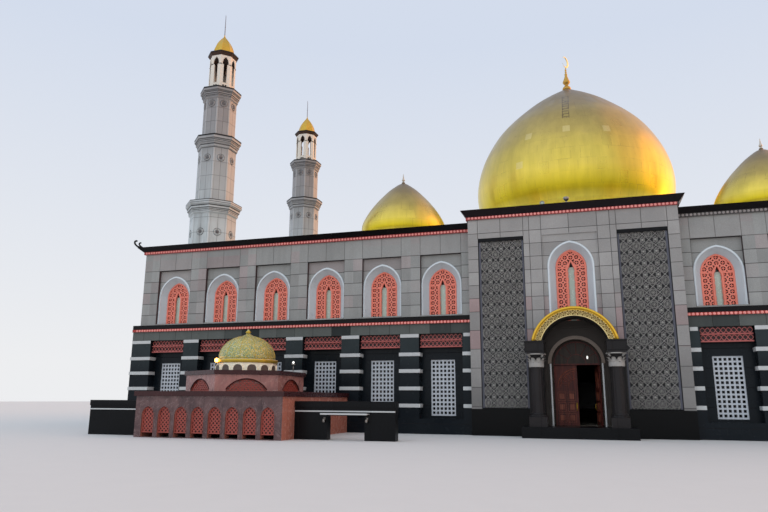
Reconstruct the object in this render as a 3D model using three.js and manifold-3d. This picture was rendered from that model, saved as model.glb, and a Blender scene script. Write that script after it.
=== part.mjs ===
// A mosque with one large golden dome, four corner domes, four minarets and a domed annex.
// It is a model at half the size of the real building. Every size below is a metre of the
// real building, and the scale of the outer group turns them into millimetres of the model.
// X runs to the right along the front, Y runs into the building and Z runs up. The origin
// lies on the lowest ground, under the tip of the large dome. The front looks along -Y.
import * as THREE from 'three';
import { mergeVertices } from 'three/addons/utils/BufferGeometryUtils.js';
import Module from 'manifold-3d';

const wasm = await Module();
wasm.setup();

// Scale and the thin gap between pieces that rest on each other
const modelScale = 1 / 2;
const seat = 0.0006;

// The hall: how far its outer faces lie from the axis of the dome
const frontFace = 31.5;
const sideFace = 30.0;
const wallThickness = 0.8;
const lowerSetback = 0.3;
const pilasterReach = 0.35;
const cornerReach = 0.3;
const floorTop = 0.6;

// Heights of the storeys
const courseBottom = 5.98;
const stringBottom = 6.6;
const stringTop = 7.06;
const wallTop = 12.3;
const parapetTop = 12.8;
const roofThickness = 0.35;

// The bays of windows and pilasters
const bay = 3.904;
const firstBay = 7.905;
const frontBays = 6;
const sideBays = 7;
const pilasterWidth = 1.2;
const narrowPilaster = 0.55;
const cornerPilaster = 28.75;
const sideEndPilaster = 28.9;
const upperWindow = { half: 1.27, sill: 7.18, rise: 1.48, apex: 10.58 };
const lowerWindow = { half: 0.76, sill: 1.06, head: 4.42 };
const recess = { half: 1.32, sill: 7.18, head: 11.03, depth: 0.2 };
const plinthTop = 0.9;
const glazing = { lower: [0.9, 4.6], upper: [7.0, 10.8], sheet: 0.06, portalGap: 0.3 };

// The portal in the middle of the front
const portalHalf = 6.0;
const portalFace = 32.2;
const portalTop = 12.88;
const portalCap = 13.45;
const portalPlinth = 1.5;
const plinthReach = 0.08;
const portalNiche = { half: 1.55, top: 11.65, depth: 0.06 };
const centreHalf = 2.3;
const lintelTop = 6.2;
const latticeInner = 2.646;
const latticeOuter = 5.395;
const latticeTop = 11.675;
const latticeRecess = 0.3;
const latticeThickness = 0.14;
const portalWindow = { half: 1.285, sill: 6.5, rise: 1.48, apex: 11.17 };

// The doorway, its two leaves and the hood in front of it
const doorwayHalf = 1.48;
const doorSpring = 4.05;
const frameFront = 31.45;
const frameDepth = 0.2;
const jambInner = 1.3;
const leafThickness = 0.09;
const leafClearance = 0.012;
const leafGap = 0.02;
const hingeRadius = 0.02;
const hingeOffset = 0.026;
const hingeHeights = [0.95, 2.25, 3.55];
const hingeHalf = 0.08;
const openAngle = THREE.MathUtils.degToRad(80);
const landingHalf = 3.0;
const hood = { front: 33.75, centreZ: 4.72, outer: 2.39, inner: 1.85, spring: 5.25 };
const block = { inner: 1.66, outer: 2.7, bottom: 4.61 };
const column = { x: 2.12, y: 33.3, radius: 0.36, baseHalf: 0.47 };

// The domes
const mainDome = {
  bottomZ: 20.2,
  tipZ: 36.25,
  shell: 0.35,
  outline: [
    [9.35, 20.2], [10.0, 22.0], [10.25, 24.0], [9.99, 26.0], [9.27, 28.0], [8.11, 30.0],
    [6.82, 31.5], [5.17, 33.0], [3.93, 34.0], [2.46, 35.0], [1.31, 35.7], [0.42, 36.25],
  ],
};
const cornerDome = {
  bottomZ: 15.05,
  tipZ: 20.0,
  shell: 0.2,
  outline: [
    [3.38, 15.05], [3.5, 15.6], [3.44, 16.3], [2.98, 17.2], [2.4, 18.0], [1.78, 18.7],
    [1.17, 19.3], [0.52, 19.8], [0.16, 20.0],
  ],
};
const cornerDomeX = 13.6;
const cornerDomeY = 19.9;
const domeOpening = 6.2;
const cornerFinialScale = 0.32;
const crescent = { centre: 3.48, radius: 0.68, hollowX: -0.18, hollowRadius: 0.55, half: 0.07, turn: 62 };

// The minarets, octagons given by the distance from the axis to a flat side
const minaretYs = { front: -20.0, middle: 0.0 };
const shaftHalf = 1.955;
const middleHalf = 1.62;
const topHalf = 1.43;
const lanternHalf = 1.16;
const shaftVoid = 1.0;
const collars = [
  { neck: shaftHalf, reach: 2.38, bottom: 18.35, top: 19.5 },
  { neck: middleHalf, reach: 2.02, bottom: 24.8, top: 25.9 },
  { neck: topHalf, reach: 1.79, bottom: 29.8, top: 30.85 },
];
const lantern = { top: 34.45, eaveHalf: 1.34, eaveTop: 34.85, wall: 0.22 };
const lanternHead = { half: 0.29, sill: 33.5, rise: 0.62, apex: 34.28 };
const lanternSlot = { half: 0.17, sill: 31.6 };
const minaretX = sideFace + shaftHalf + seat;

// The annex in front of the left wing
const annex = { x: -18.2, half: 4.3, front: 40.95, wall: 0.4, roofZ: 2.15, top: 2.38 };
const annexBack = frontFace + pilasterReach + seat;
const niche = { pitch: 1.004, half: 0.37, bottom: 0.25, spring: 1.15, apex: 1.6 };
const hexagon = { y: -37.0, radius: 3.3, top: 3.5 };
const gardenWall = { front: 39.5, thickness: 0.5, top: 1.9, left: -26.7, right: -8.5 };
const gateway = { left: -12.1, right: -10.1, head: 1.2 };

const colours = {
  greyGranite: [0x75706e, 0.45, 0.0],
  blackGranite: [0x1c1f20, 0.3, 0.0],
  paleStone: [0xb9b4ac, 0.7, 0.0],
  gold: [0xd8a520, 0.3, 0.9],
  relief: [0x4c4946, 0.5, 0.0],
  glass: [0x9db5ad, 0.1, 0.0],
  wood: [0x4a2620, 0.5, 0.0],
  redMarble: [0x6f4a46, 0.45, 0.0],
  mosaic: [0xa9a45c, 0.35, 0.3],
  cream: [0xd9c9a2, 0.6, 0.0],
};

// Basic solids

function toSolid(geometry) {
  geometry.deleteAttribute('normal');
  geometry.deleteAttribute('uv');
  const merged = mergeVertices(geometry, 1e-5);
  return new wasm.Manifold(new wasm.Mesh({
    numProp: 3,
    vertProperties: merged.attributes.position.array,
    triVerts: new Uint32Array(merged.index.array),
  }));
}

function toGeometry(solid) {
  const mesh = solid.getMesh();
  const geometry = new THREE.BufferGeometry();
  geometry.setAttribute('position', new THREE.BufferAttribute(mesh.vertProperties, 3));
  geometry.setIndex(new THREE.BufferAttribute(mesh.triVerts, 1));
  geometry.computeVertexNormals();
  return geometry;
}

function joinAll(solids) {
  return solids.reduce((whole, next) => whole.add(next));
}

function cutAll(solid, cutters) {
  return cutters.reduce((rest, next) => rest.subtract(next), solid);
}

function box(x0, x1, y0, y1, z0, z1) {
  const geometry = new THREE.BoxGeometry(x1 - x0, y1 - y0, z1 - z0);
  geometry.translate((x0 + x1) / 2, (y0 + y1) / 2, (z0 + z1) / 2);
  return toSolid(geometry);
}

// A box whose four upper edges lean out by flare
function flaredBox(x0, x1, y0, y1, z0, z1, flare) {
  const geometry = new THREE.BoxGeometry(x1 - x0, y1 - y0, z1 - z0);
  const position = geometry.attributes.position;
  for (let i = 0; i < position.count; i += 1) {
    const reach = position.getZ(i) > 0 ? flare : 0;
    position.setX(i, position.getX(i) + Math.sign(position.getX(i)) * reach);
    position.setY(i, position.getY(i) + Math.sign(position.getY(i)) * reach);
  }
  geometry.translate((x0 + x1) / 2, (y0 + y1) / 2, (z0 + z1) / 2);
  return toSolid(geometry);
}

// An outline in the XZ plane, carried along Y from y0 to y1
function prism(outline, y0, y1) {
  const shape = new THREE.Shape(outline.map(([x, z]) => new THREE.Vector2(x, z)));
  const geometry = new THREE.ExtrudeGeometry(shape, { depth: y1 - y0, bevelEnabled: false });
  geometry.rotateX(Math.PI / 2);
  geometry.translate(0, y1, 0);
  return toSolid(geometry);
}

// A profile of [radius, height] points turned about a vertical axis at (x, y)
function turned(profile, sides, x, y, firstAngle = 0) {
  const points = profile.map(([r, z]) => new THREE.Vector2(r, z));
  const geometry = new THREE.LatheGeometry(points, sides, firstAngle);
  geometry.rotateX(Math.PI / 2);
  geometry.translate(x, y, 0);
  return toSolid(geometry);
}

// A turned profile whose radii are the distances to flat sides that face along X and Y
function octagonal(profile, x, y) {
  const toCorner = 1 / Math.cos(Math.PI / 8);
  return turned(profile.map(([half, z]) => [half * toCorner, z]), 8, x, y, Math.PI / 8);
}

// Pointed arch of two arcs: its outline from the sill round the apex and back
function archOutline(x, { half, sill, rise, apex }, steps = 3) {
  const spring = apex - rise;
  const arc = (rise * rise + half * half) / (2 * half);
  const end = Math.asin(rise / arc);
  const right = [];
  for (let i = 0; i <= steps; i += 1) {
    const angle = (end * i) / steps;
    right.push([x + half - arc + arc * Math.cos(angle), spring + arc * Math.sin(angle)]);
  }
  const left = right.slice(0, -1).reverse().map(([px, pz]) => [2 * x - px, pz]);
  return [[x - half, sill], [x + half, sill], ...right, ...left];
}

// Round arch over two upright sides
function roundArch(half, sill, spring, steps = 14) {
  const outline = [[-half, sill], [half, sill]];
  for (let i = 0; i <= steps; i += 1) {
    const angle = (Math.PI * i) / steps;
    outline.push([half * Math.cos(angle), spring + half * Math.sin(angle)]);
  }
  return outline;
}

// The places of pieces that repeat

const frontBayXs = [];
for (let i = 0; i < frontBays; i += 1) {
  frontBayXs.push(firstBay + bay * i);
}
const rearBayXs = [0, bay + firstBay - 2 * bay, ...frontBayXs].flatMap((x) => (x === 0 ? [0] : [-x, x]));
const sideBayYs = [];
for (let i = -sideBays; i <= sideBays; i += 1) {
  const y = i * bay;
  const behindMinaret = Object.values(minaretYs).some((m) => Math.abs(y - m) < shaftHalf);
  if (!behindMinaret) {
    sideBayYs.push(y);
  }
}

const minaretPlaces = [];
for (const [side, x] of [['left', -minaretX], ['right', minaretX]]) {
  for (const [row, y] of Object.entries(minaretYs)) {
    minaretPlaces.push({ name: `${side}_${row}_minaret`, x, y });
  }
}

// Room for every minaret shaft, cut out of what the minarets stand against
function minaretRoom(top) {
  const half = shaftHalf + seat;
  return minaretPlaces.map(({ x, y }) => octagonal([[0, -1], [half, -1], [half, top], [0, top]], x, y));
}

// Walls are worked out as a run along X whose outer face looks along -Y

function upperStorey(x0, x1, face, bays) {
  const back = -(face - wallThickness);
  const wall = box(x0, x1, -face, back, stringTop + seat, wallTop);
  const cutters = bays.flatMap((x) => [
    box(x - recess.half, x + recess.half, -face - 1, -face + recess.depth, recess.sill, recess.head),
    prism(archOutline(x, upperWindow), -face - 1, back + 1),
  ]);
  return cutAll(wall, cutters);
}

function lowerStorey(x0, x1, face, bays, pilasters) {
  const back = -(face - wallThickness);
  const front = -(face + pilasterReach);
  const wall = box(x0, x1, -(face - lowerSetback), back, 0, stringTop);
  const fascia = box(x0, x1, front, back, courseBottom, stringBottom);
  const beadBand = box(x0, x1, front - 0.1, back, stringBottom - 0.02, stringBottom + 0.16);
  const string = flaredBox(x0, x1, front - 0.06, back, stringBottom + 0.14, stringTop, 0);
  const plinth = box(x0, x1, front, back, 0, plinthTop);
  const piers = pilasters.map(([a, b]) => box(a, b, front, back, 0, courseBottom + 0.1));
  const windows = bays.map((x) => box(
    x - lowerWindow.half, x + lowerWindow.half, front - 1, back + 1, lowerWindow.sill, lowerWindow.head));
  return cutAll(joinAll([wall, fascia, beadBand, string, plinth, ...piers]), windows);
}

const halfPilaster = pilasterWidth / 2;
const pilasterXs = frontBayXs.map((x) => x + bay / 2);

// The left half of the front: bays from the portal to the corner, mirrored for the right half
function wingPilasters(sign) {
  const between = pilasterXs.slice(0, -1).map((x) => [x - halfPilaster, x + halfPilaster]);
  const first = [portalHalf + seat, portalHalf + narrowPilaster];
  const last = [cornerPilaster, sideFace + cornerReach];
  const spans = [first, ...between, last];
  return spans.map(([a, b]) => (sign > 0 ? [a, b] : [-b, -a]));
}

function wing(sign) {
  const lowerRun = [portalHalf + seat, sideFace + cornerReach];
  const upperRun = [portalHalf + seat, sideFace];
  const mirrored = (run) => (sign > 0 ? run : [-run[1], -run[0]]);
  const bays = frontBayXs.map((x) => sign * x);
  return {
    lower: lowerStorey(...mirrored(lowerRun), frontFace, bays, wingPilasters(sign)),
    upper: upperStorey(...mirrored(upperRun), frontFace, bays),
  };
}

function rearWall() {
  const spans = [...pilasterXs, bay / 2, bay / 2 + bay].map((x) => [x - halfPilaster, x + halfPilaster]);
  const right = spans.filter(([a]) => a < cornerPilaster - pilasterWidth / 2);
  const corner = [cornerPilaster, sideFace + cornerReach];
  const pilasters = [...right, corner].flatMap(([a, b]) => [[a, b], [-b, -a]]);
  const end = sideFace + cornerReach;
  const lower = lowerStorey(-end, end, frontFace, rearBayXs, pilasters);
  const upper = upperStorey(-sideFace, sideFace, frontFace, rearBayXs);
  return lower.add(upper.add(box(-sideFace, sideFace, -frontFace, -frontFace + wallThickness,
    stringTop - 0.05, stringTop + 0.05)));
}

// A side wall before it is turned: its run along X becomes -Y on the left and +Y on the right
function sideWall(sign) {
  const end = frontFace - wallThickness - seat;
  const bays = sideBayYs.map((y) => sign * y);
  const pilasters = [];
  for (let i = -sideBays; i < sideBays; i += 1) {
    const y = (i + 0.5) * bay;
    pilasters.push([y - halfPilaster, y + halfPilaster]);
  }
  pilasters.push([-end, -sideEndPilaster], [sideEndPilaster, end]);
  const lower = lowerStorey(-end, end, sideFace, bays, pilasters);
  const upper = upperStorey(-end, end, sideFace, bays);
  const joint = box(-end, end, -sideFace, -sideFace + wallThickness, stringTop - 0.05, stringTop + 0.05);
  return lower.add(upper).add(joint);
}

// A ring of boxes that follows the four walls, standing out by reach
function wallRing(reach, z0, z1, flare = 0) {
  const innerX = sideFace - wallThickness;
  const innerY = frontFace - wallThickness;
  const x = sideFace + reach;
  const y = frontFace + reach;
  const outer = flaredBox(-x, x, -y, y, z0, z1, flare);
  return outer.subtract(box(-innerX, innerX, -innerY, innerY, z0 - 1, z1 + 1));
}

function mainCornice() {
  const beads = wallRing(0.12, wallTop + seat, wallTop + 0.2);
  const crown = wallRing(0.14, wallTop + 0.18, parapetTop, 0.36);
  const side = portalHalf + seat;
  const portalRoom = box(-side, side, -frontFace - 2, -frontFace + 2, wallTop - 1, 14);
  return cutAll(beads.add(crown), [portalRoom, ...minaretRoom(16)]);
}

// A thin sheet behind the windows of one storey, round the hall from portal to portal
function glazingRing([z0, z1]) {
  const { sheet, portalGap } = glazing;
  const x = sideFace - wallThickness - seat;
  const y = frontFace - wallThickness - seat;
  const outer = box(-x, x, -y, y, z0, z1);
  const inner = box(-x + sheet, x - sheet, -y + sheet, y - sheet, z0 - 1, z1 + 1);
  const gap = box(-portalHalf - portalGap, portalHalf + portalGap, -y - 1, -y + 1, z0 - 1, z1 + 1);
  return outer.subtract(inner).subtract(gap);
}

// The portal

function portalPier(sign) {
  const back = -(frontFace - wallThickness);
  const x0 = sign > 0 ? centreHalf + seat : -portalHalf;
  const x1 = sign > 0 ? portalHalf : -centreHalf - seat;
  const pier = box(x0, x1, -portalFace, back, 0, portalTop);
  const plinth = box(x0, x1, -portalFace - plinthReach, back, 0, portalPlinth);
  const a = sign > 0 ? latticeInner : -latticeOuter;
  const b = sign > 0 ? latticeOuter : -latticeInner;
  const panelRoom = box(a, b, -portalFace - 1, -portalFace + latticeRecess, portalPlinth, latticeTop);
  return pier.add(plinth).subtract(panelRoom);
}

function latticePanel(sign) {
  const a = sign > 0 ? latticeInner : -latticeOuter;
  const b = sign > 0 ? latticeOuter : -latticeInner;
  const back = -portalFace + latticeRecess - seat;
  return box(a + seat, b - seat, back - latticeThickness, back, portalPlinth + seat, latticeTop - seat);
}

function doorwayWall() {
  const back = -(frontFace - wallThickness);
  const wall = box(-centreHalf, centreHalf, -portalFace, back, 0, lintelTop);
  return wall.subtract(prism(roundArch(doorwayHalf, floorTop, doorSpring), -portalFace - 1, back + 1));
}

function portalWindowWall() {
  const back = -(frontFace - wallThickness);
  const wall = box(-centreHalf, centreHalf, -portalFace, back, lintelTop + seat, portalTop);
  const { half, top, depth } = portalNiche;
  const niche = box(-half, half, -portalFace - 1, -portalFace + depth, lintelTop + seat, top);
  return wall.subtract(niche).subtract(prism(archOutline(0, portalWindow), -portalFace - 1, back + 1));
}

function portalWindowGlass() {
  const { half, sill, apex } = portalWindow;
  const y = -(frontFace - wallThickness) + seat;
  return box(-half - 0.1, half + 0.1, y, y + glazing.sheet, sill - 0.1, apex + 0.1);
}

function portalCornice() {
  const back = -(frontFace - wallThickness);
  const x = portalHalf + 0.1;
  const front = -portalFace - 0.1;
  const beads = box(-x, x, front, back, portalTop + seat, portalTop + 0.18);
  const crown = flaredBox(-x, x, front, back, portalTop + 0.16, portalCap, 0.3);
  return beads.add(crown);
}

// The entrance

const hoodBack = -portalFace - plinthReach - seat;

function landing() {
  return box(-landingHalf, landingHalf, -hood.front - 0.25, hoodBack, 0, floorTop - seat);
}

function hoodVault() {
  const front = -hood.front + 0.12;
  const ring = (radius) => roundArch(radius, 0, hood.centreZ, 24);
  const vault = prism(ring(hood.outer - 0.1), front, hoodBack)
    .subtract(prism(ring(hood.inner - 0.04), front - 1, hoodBack + 1))
    .subtract(box(-4, 4, front - 1, hoodBack + 1, -1, hood.spring - 0.01));
  const blocks = [[-block.outer, -block.inner], [block.inner, block.outer]];
  const entablature = blocks.map(([a, b]) => box(a, b, -hood.front, hoodBack, block.bottom, hood.spring));
  const piers = blocks.map(([a, b]) => {
    const x = (a + b) / 2;
    return box(x - 0.43, x + 0.43, -column.y + 0.5, hoodBack, floorTop, block.bottom + 0.01);
  });
  return joinAll([vault, ...entablature, ...piers]);
}

function hoodArch() {
  const front = -hood.front + 0.02;
  const back = -hood.front + 0.12 - seat;
  const ring = (radius) => roundArch(radius, 0, hood.centreZ, 24);
  return prism(ring(hood.outer), front, back)
    .subtract(prism(ring(hood.inner), front - 1, back + 1))
    .subtract(box(-4, 4, front - 1, back + 1, -1, hood.spring + seat));
}

function entranceColumn(sign) {
  const { radius, baseHalf } = column;
  const x = sign * column.x;
  const y = -column.y;
  const top = block.bottom - seat;
  const profile = [
    [0, floorTop + 0.5], [radius + 0.09, floorTop + 0.5], [radius + 0.09, floorTop + 0.6],
    [radius, floorTop + 0.72], [radius - 0.03, 3.86], [radius + 0.03, 3.9], [radius + 0.03, 3.98],
    [radius - 0.01, 4.02], [radius, 4.25], [radius + 0.09, 4.5], [radius + 0.09, top - 0.06],
    [0, top - 0.06],
  ];
  const shaft = turned(profile, 12, x, y, Math.PI / 12);
  const base = box(x - baseHalf, x + baseHalf, y - baseHalf, y + baseHalf, floorTop, floorTop + 0.52);
  const abacus = box(x - baseHalf, x + baseHalf, y - baseHalf, y + baseHalf, top - 0.08, top);
  return joinAll([shaft, base, abacus]);
}

const leafFront = -frameFront + (frameDepth - leafThickness);
const leafBack = -frameFront + frameDepth;
const hingeX = jambInner - leafClearance / 2;
const hingeY = leafBack + hingeOffset;

// One hinge barrel with the plate that carries it, at the left hinge line
function barrel(z0, z1, plateX0, plateX1) {
  const pin = turned([[0, z0], [hingeRadius, z0], [hingeRadius, z1], [0, z1]], 8, -hingeX, hingeY);
  return pin.add(box(plateX0, plateX1, leafBack - 0.01, hingeY - 0.004, z0, z1));
}

function doorFrame() {
  const front = -frameFront;
  const outer = prism(roundArch(doorwayHalf - seat, floorTop + seat, doorSpring), front, leafBack);
  const opening = box(-jambInner, jambInner, front - 1, leafBack + 1, floorTop - 1, doorSpring - 0.05);
  const frame = outer.subtract(opening);
  const pintles = hingeHeights.flatMap((z) => {
    const left = barrel(z - hingeHalf, z - seat, -hingeX - 0.1, -hingeX);
    return [left, left.mirror([1, 0, 0])];
  });
  return joinAll([frame, ...pintles]);
}

// The left leaf where it is shut; the right one is its mirror image
function leafShut() {
  const x0 = -jambInner + leafClearance;
  const x1 = -leafGap / 2;
  const bottom = floorTop + leafClearance;
  const top = doorSpring - 0.05 - leafClearance;
  const board = box(x0, x1, leafFront, leafBack, bottom, top);
  const panels = [];
  const columns = [[x0 + 0.17, x0 + 0.58], [x0 + 0.71, x1 - 0.17]];
  for (let row = 0; row < 3; row += 1) {
    for (const [a, b] of columns) {
      const z = bottom + 0.2 + row * 0.6;
      panels.push(box(a, b, leafFront - 1, leafFront + 0.025, z, z + 0.46));
    }
  }
  const barrels = hingeHeights.map((z) => barrel(z + seat, z + hingeHalf, -hingeX, -hingeX + 0.1));
  return joinAll([cutAll(board, panels), ...barrels]);
}

// Domes

// A closed section through a shell: its outline from the foot to the tip, then its inner face
function domeSection({ outline, bottomZ, tipZ, shell }, finial = []) {
  const top = finial.length > 0 ? finial : [[0, tipZ]];
  const inner = [];
  for (let i = 2; i < outline.length - 3; i += 2) {
    const leanR = outline[i + 1][0] - outline[i - 1][0];
    const leanZ = outline[i + 1][1] - outline[i - 1][1];
    const length = Math.hypot(leanR, leanZ);
    const [r, z] = outline[i];
    inner.unshift([r - (shell * leanZ) / length, z + (shell * leanR) / length]);
  }
  return [...outline, ...top, [0, tipZ - 4 * shell], ...inner, [outline[0][0] - shell, bottomZ], outline[0]];
}

function mainDomeSolid() {
  return turned(domeSection(mainDome), 36, 0, 0);
}

function finialProfile(z, size) {
  const steps = [
    [0.46, 0.1], [0.44, 0.28], [0.19, 0.55], [0.19, 0.68], [0.4, 0.92], [0.38, 1.08], [0.13, 1.8],
    [0.16, 1.92], [0.15, 2.02], [0.07, 2.1], [0.11, 2.22], [0.06, 2.34], [0.1, 2.44], [0.0, 2.85],
  ];
  return steps.map(([r, h]) => [r * size, z + h * size]);
}

// A beaded stem with a crescent that is turned away from the front
function mainFinial() {
  const base = mainDome.tipZ + seat;
  const { centre, radius, hollowX, hollowRadius, half, turn } = crescent;
  const stem = turned([[0, base], [0.34, base], ...finialProfile(base, 1)], 12, 0, 0);
  const moonZ = base + centre;
  const moon = [];
  const mouth = THREE.MathUtils.degToRad(155);
  for (let i = 0; i <= 16; i += 1) {
    const angle = -mouth + (2 * mouth * i) / 16;
    moon.push([radius * Math.cos(angle), moonZ + radius * Math.sin(angle)]);
  }
  const hollowMouth = THREE.MathUtils.degToRad(140);
  for (let i = 15; i > 0; i -= 1) {
    const angle = -hollowMouth + (2 * hollowMouth * i) / 16;
    moon.push([hollowX + hollowRadius * Math.cos(angle), moonZ + hollowRadius * Math.sin(angle)]);
  }
  return stem.add(prism(moon, -half, half).rotate([0, 0, turn]));
}

function mainDrum() {
  const bottom = wallTop + seat;
  const top = mainDome.bottomZ - seat;
  const profile = [
    [8.9, bottom], [9.9, bottom], [9.9, bottom + 0.9], [9.45, bottom + 1.0], [9.45, top - 1.0],
    [9.6, top - 0.9], [9.6, top - 0.5], [10.0, top - 0.2], [10.0, top], [8.9, top], [8.9, bottom],
  ];
  return turned(profile, 36, 0, 0);
}

function cornerDrum(x, y) {
  const bottom = wallTop + seat;
  const top = cornerDome.bottomZ - seat;
  const profile = [
    [2.7, bottom], [3.0, bottom], [3.0, top - 0.5], [3.4, top - 0.2], [3.4, top], [2.7, top],
    [2.7, bottom],
  ];
  return turned(profile, 18, x, y);
}

function cornerDomeSolid(x, y) {
  const finial = finialProfile(cornerDome.tipZ, cornerFinialScale).filter((point, i) => i % 2 === 1);
  return turned(domeSection(cornerDome, finial), 18, x, y);
}

// Minarets

// The mouldings of one collar, above the straight shaft that rises from the collar below
function collar({ neck, reach, bottom: z0, top }, foot) {
  const rise = top - z0;
  const step = (reach - neck) / 3;
  return [
    [neck, foot], [neck, z0], [neck + step * 0.9, z0 + rise * 0.1], [neck + step, z0 + rise * 0.36],
    [neck + step * 1.9, z0 + rise * 0.44], [neck + step * 2, z0 + rise * 0.66],
    [reach, z0 + rise * 0.76], [reach, top],
  ];
}

function minaretTower(x, y) {
  const { eaveHalf, eaveTop } = lantern;
  const lanternFoot = collars[2].top;
  const stages = collars.flatMap((ring, i) => collar(ring, i === 0 ? 0 : collars[i - 1].top));
  const outer = [
    ...stages, [lanternHalf, lanternFoot], [lanternHalf, lantern.top],
    [eaveHalf, lantern.top + 0.25], [eaveHalf, eaveTop], [0, eaveTop],
  ];
  const voidTop = lanternFoot - 0.75;
  const inner = [[0, voidTop + 0.2], [shaftVoid, voidTop], [shaftVoid, 0]];
  return octagonal([...outer, ...inner, [shaftHalf, 0]], x, y);
}

// The room in a lantern and the keyholes through its sides: a slot under a wider pointed head
function lanternCutters(x, y) {
  const hollow = lanternHalf - lantern.wall;
  const floor = collars[2].top + 0.2;
  const ceiling = lantern.top - 0.1;
  const room = octagonal([[0, floor], [hollow, floor], [hollow, ceiling], [0, ceiling]], x, y);
  const { half, sill } = lanternSlot;
  const keyhole = prism(archOutline(0, lanternHead, 2), -2, 2)
    .add(box(-half, half, -2, 2, sill, lanternHead.sill + 0.1));
  const keyholes = [0, 1, 2, 3].map((i) => keyhole.rotate([0, 0, 45 * i]).translate([x, y, 0]));
  return [room, ...keyholes];
}

function minaretCap(x, y) {
  const z = lantern.eaveTop + seat;
  const profile = [
    [0, 0], [0.93, 0], [0.92, 0.25], [0.87, 0.6], [0.78, 0.95], [0.63, 1.28], [0.45, 1.58],
    [0.24, 1.88], [0.09, 2.08], [0.045, 2.22], [0.045, 4.65], [0, 4.65],
  ];
  return octagonal(profile.map(([half, rise]) => [half, z + rise]), x, y);
}

// The annex

function annexBlock() {
  const { x, half, front, wall, roofZ, top } = annex;
  const x0 = x - half;
  const x1 = x + half;
  const shell = box(x0, x1, -front, -annexBack, 0, roofZ)
    .subtract(box(x0 + wall, x1 - wall, -front + wall, -annexBack - wall, -1, roofZ - 0.3));
  const rim = box(x0 - 0.1, x1 + 0.1, -front - 0.1, -annexBack, roofZ - 0.02, top)
    .subtract(box(x0 + 0.3, x1 - 0.3, -front + 0.3, -annexBack - 0.3, roofZ, top + 1));
  const niches = [];
  for (let i = 0; i < 8; i += 1) {
    const centre = x + (i - 3.5) * niche.pitch;
    const outline = archOutline(centre, {
      half: niche.half, sill: 0.04, rise: niche.apex - niche.spring, apex: niche.apex,
    }, 3);
    niches.push(prism(outline, -front - 1, -front + 0.16));
    niches.push(box(centre - niche.half, centre + niche.half, -front - 1, -front + 1, 0.04, niche.bottom));
  }
  return cutAll(shell.add(rim), niches);
}

function sixSided(radius, z0, z1) {
  return turned([[0, z0], [radius, z0], [radius, z1], [0, z1]], 6, annex.x, hexagon.y, 0);
}

function annexHexagon() {
  const z0 = annex.roofZ + seat;
  const { radius, top } = hexagon;
  const shell = sixSided(radius, z0, top).subtract(sixSided(radius - 0.35, z0 - 1, top - 0.3));
  const rim = sixSided(radius + 0.12, top - 0.22, top);
  const oculus = turned([[0, 0], [1.3, 0], [1.3, 9], [0, 9]], 20, annex.x, hexagon.y);
  const arch = [];
  for (let i = 0; i <= 8; i += 1) {
    const angle = THREE.MathUtils.degToRad(35 + (110 * i) / 8);
    arch.push([1.3 * Math.cos(angle), 1.75 + 1.3 * Math.sin(angle)]);
  }
  arch.push([-1.07, z0 - 1], [1.07, z0 - 1]);
  const flat = radius * Math.cos(Math.PI / 6);
  const arches = [0, 1, 2, 3, 4, 5].map((i) => prism(arch, -flat - 1, -flat + 0.15)
    .rotate([0, 0, 30 + 60 * i]).translate([annex.x, hexagon.y, 0]));
  return cutAll(shell.add(rim), [oculus, ...arches]);
}

function annexDrum() {
  const z0 = hexagon.top + seat;
  const profile = [
    [1.3, z0], [1.7, z0], [1.7, z0 + 0.5], [1.76, z0 + 0.55], [1.76, z0 + 0.68], [1.3, z0 + 0.68], [1.3, z0],
  ];
  return turned(profile, 20, annex.x, hexagon.y);
}

function annexDome() {
  const z0 = hexagon.top + 0.68 + 2 * seat;
  const outer = [[1.62, z0]];
  for (let i = 0; i <= 5; i += 1) {
    const angle = (Math.PI / 2) * (i / 6);
    outer.push([1.62 * Math.cos(angle), z0 + 0.1 + 1.3 * Math.sin(angle)]);
  }
  outer.push([0.12, z0 + 1.5], [0.14, z0 + 1.6], [0.03, z0 + 1.8], [0, z0 + 1.8]);
  const inner = [[0, z0 + 1.2], [0.8, z0 + 1.05], [1.3, z0 + 0.6], [1.45, z0]];
  return turned([...outer, ...inner, [1.62, z0]], 20, annex.x, hexagon.y);
}

function gardenWallPiece(x0, x1, cut) {
  const { front, thickness, top } = gardenWall;
  const wall = box(x0, x1, -front, -front + thickness, 0, top - 0.28);
  const coping = box(x0, x1, -front - 0.06, -front + thickness + 0.06, top - 0.3, top);
  const whole = wall.add(coping);
  if (!cut) {
    return whole;
  }
  return whole.subtract(box(gateway.left, gateway.right, -front - 1, -front + 1, -1, gateway.head));
}

// Assembly

const building = new THREE.Group();
building.scale.setScalar(1000 * modelScale);

function place(name, solid, colour, rotation = 0, parent = building) {
  const [hex, roughness, metalness] = colours[colour];
  const material = new THREE.MeshStandardMaterial({ color: hex, roughness, metalness });
  const mesh = new THREE.Mesh(toGeometry(solid), material);
  mesh.name = name;
  mesh.rotation.z = rotation;
  parent.add(mesh);
  return mesh;
}

const hallX = sideFace - wallThickness - seat;
const hallY = frontFace - wallThickness - seat;
place('floor_slab', box(-hallX, hallX, -hallY, hallY, 0, floorTop - seat), 'paleStone');
const roofPlate = box(-hallX, hallX, -hallY, hallY, wallTop - roofThickness, wallTop);
const roofHole = box(-domeOpening, domeOpening, -domeOpening, domeOpening, 0, 20);
place('roof_slab', roofPlate.subtract(roofHole), 'paleStone');

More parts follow.
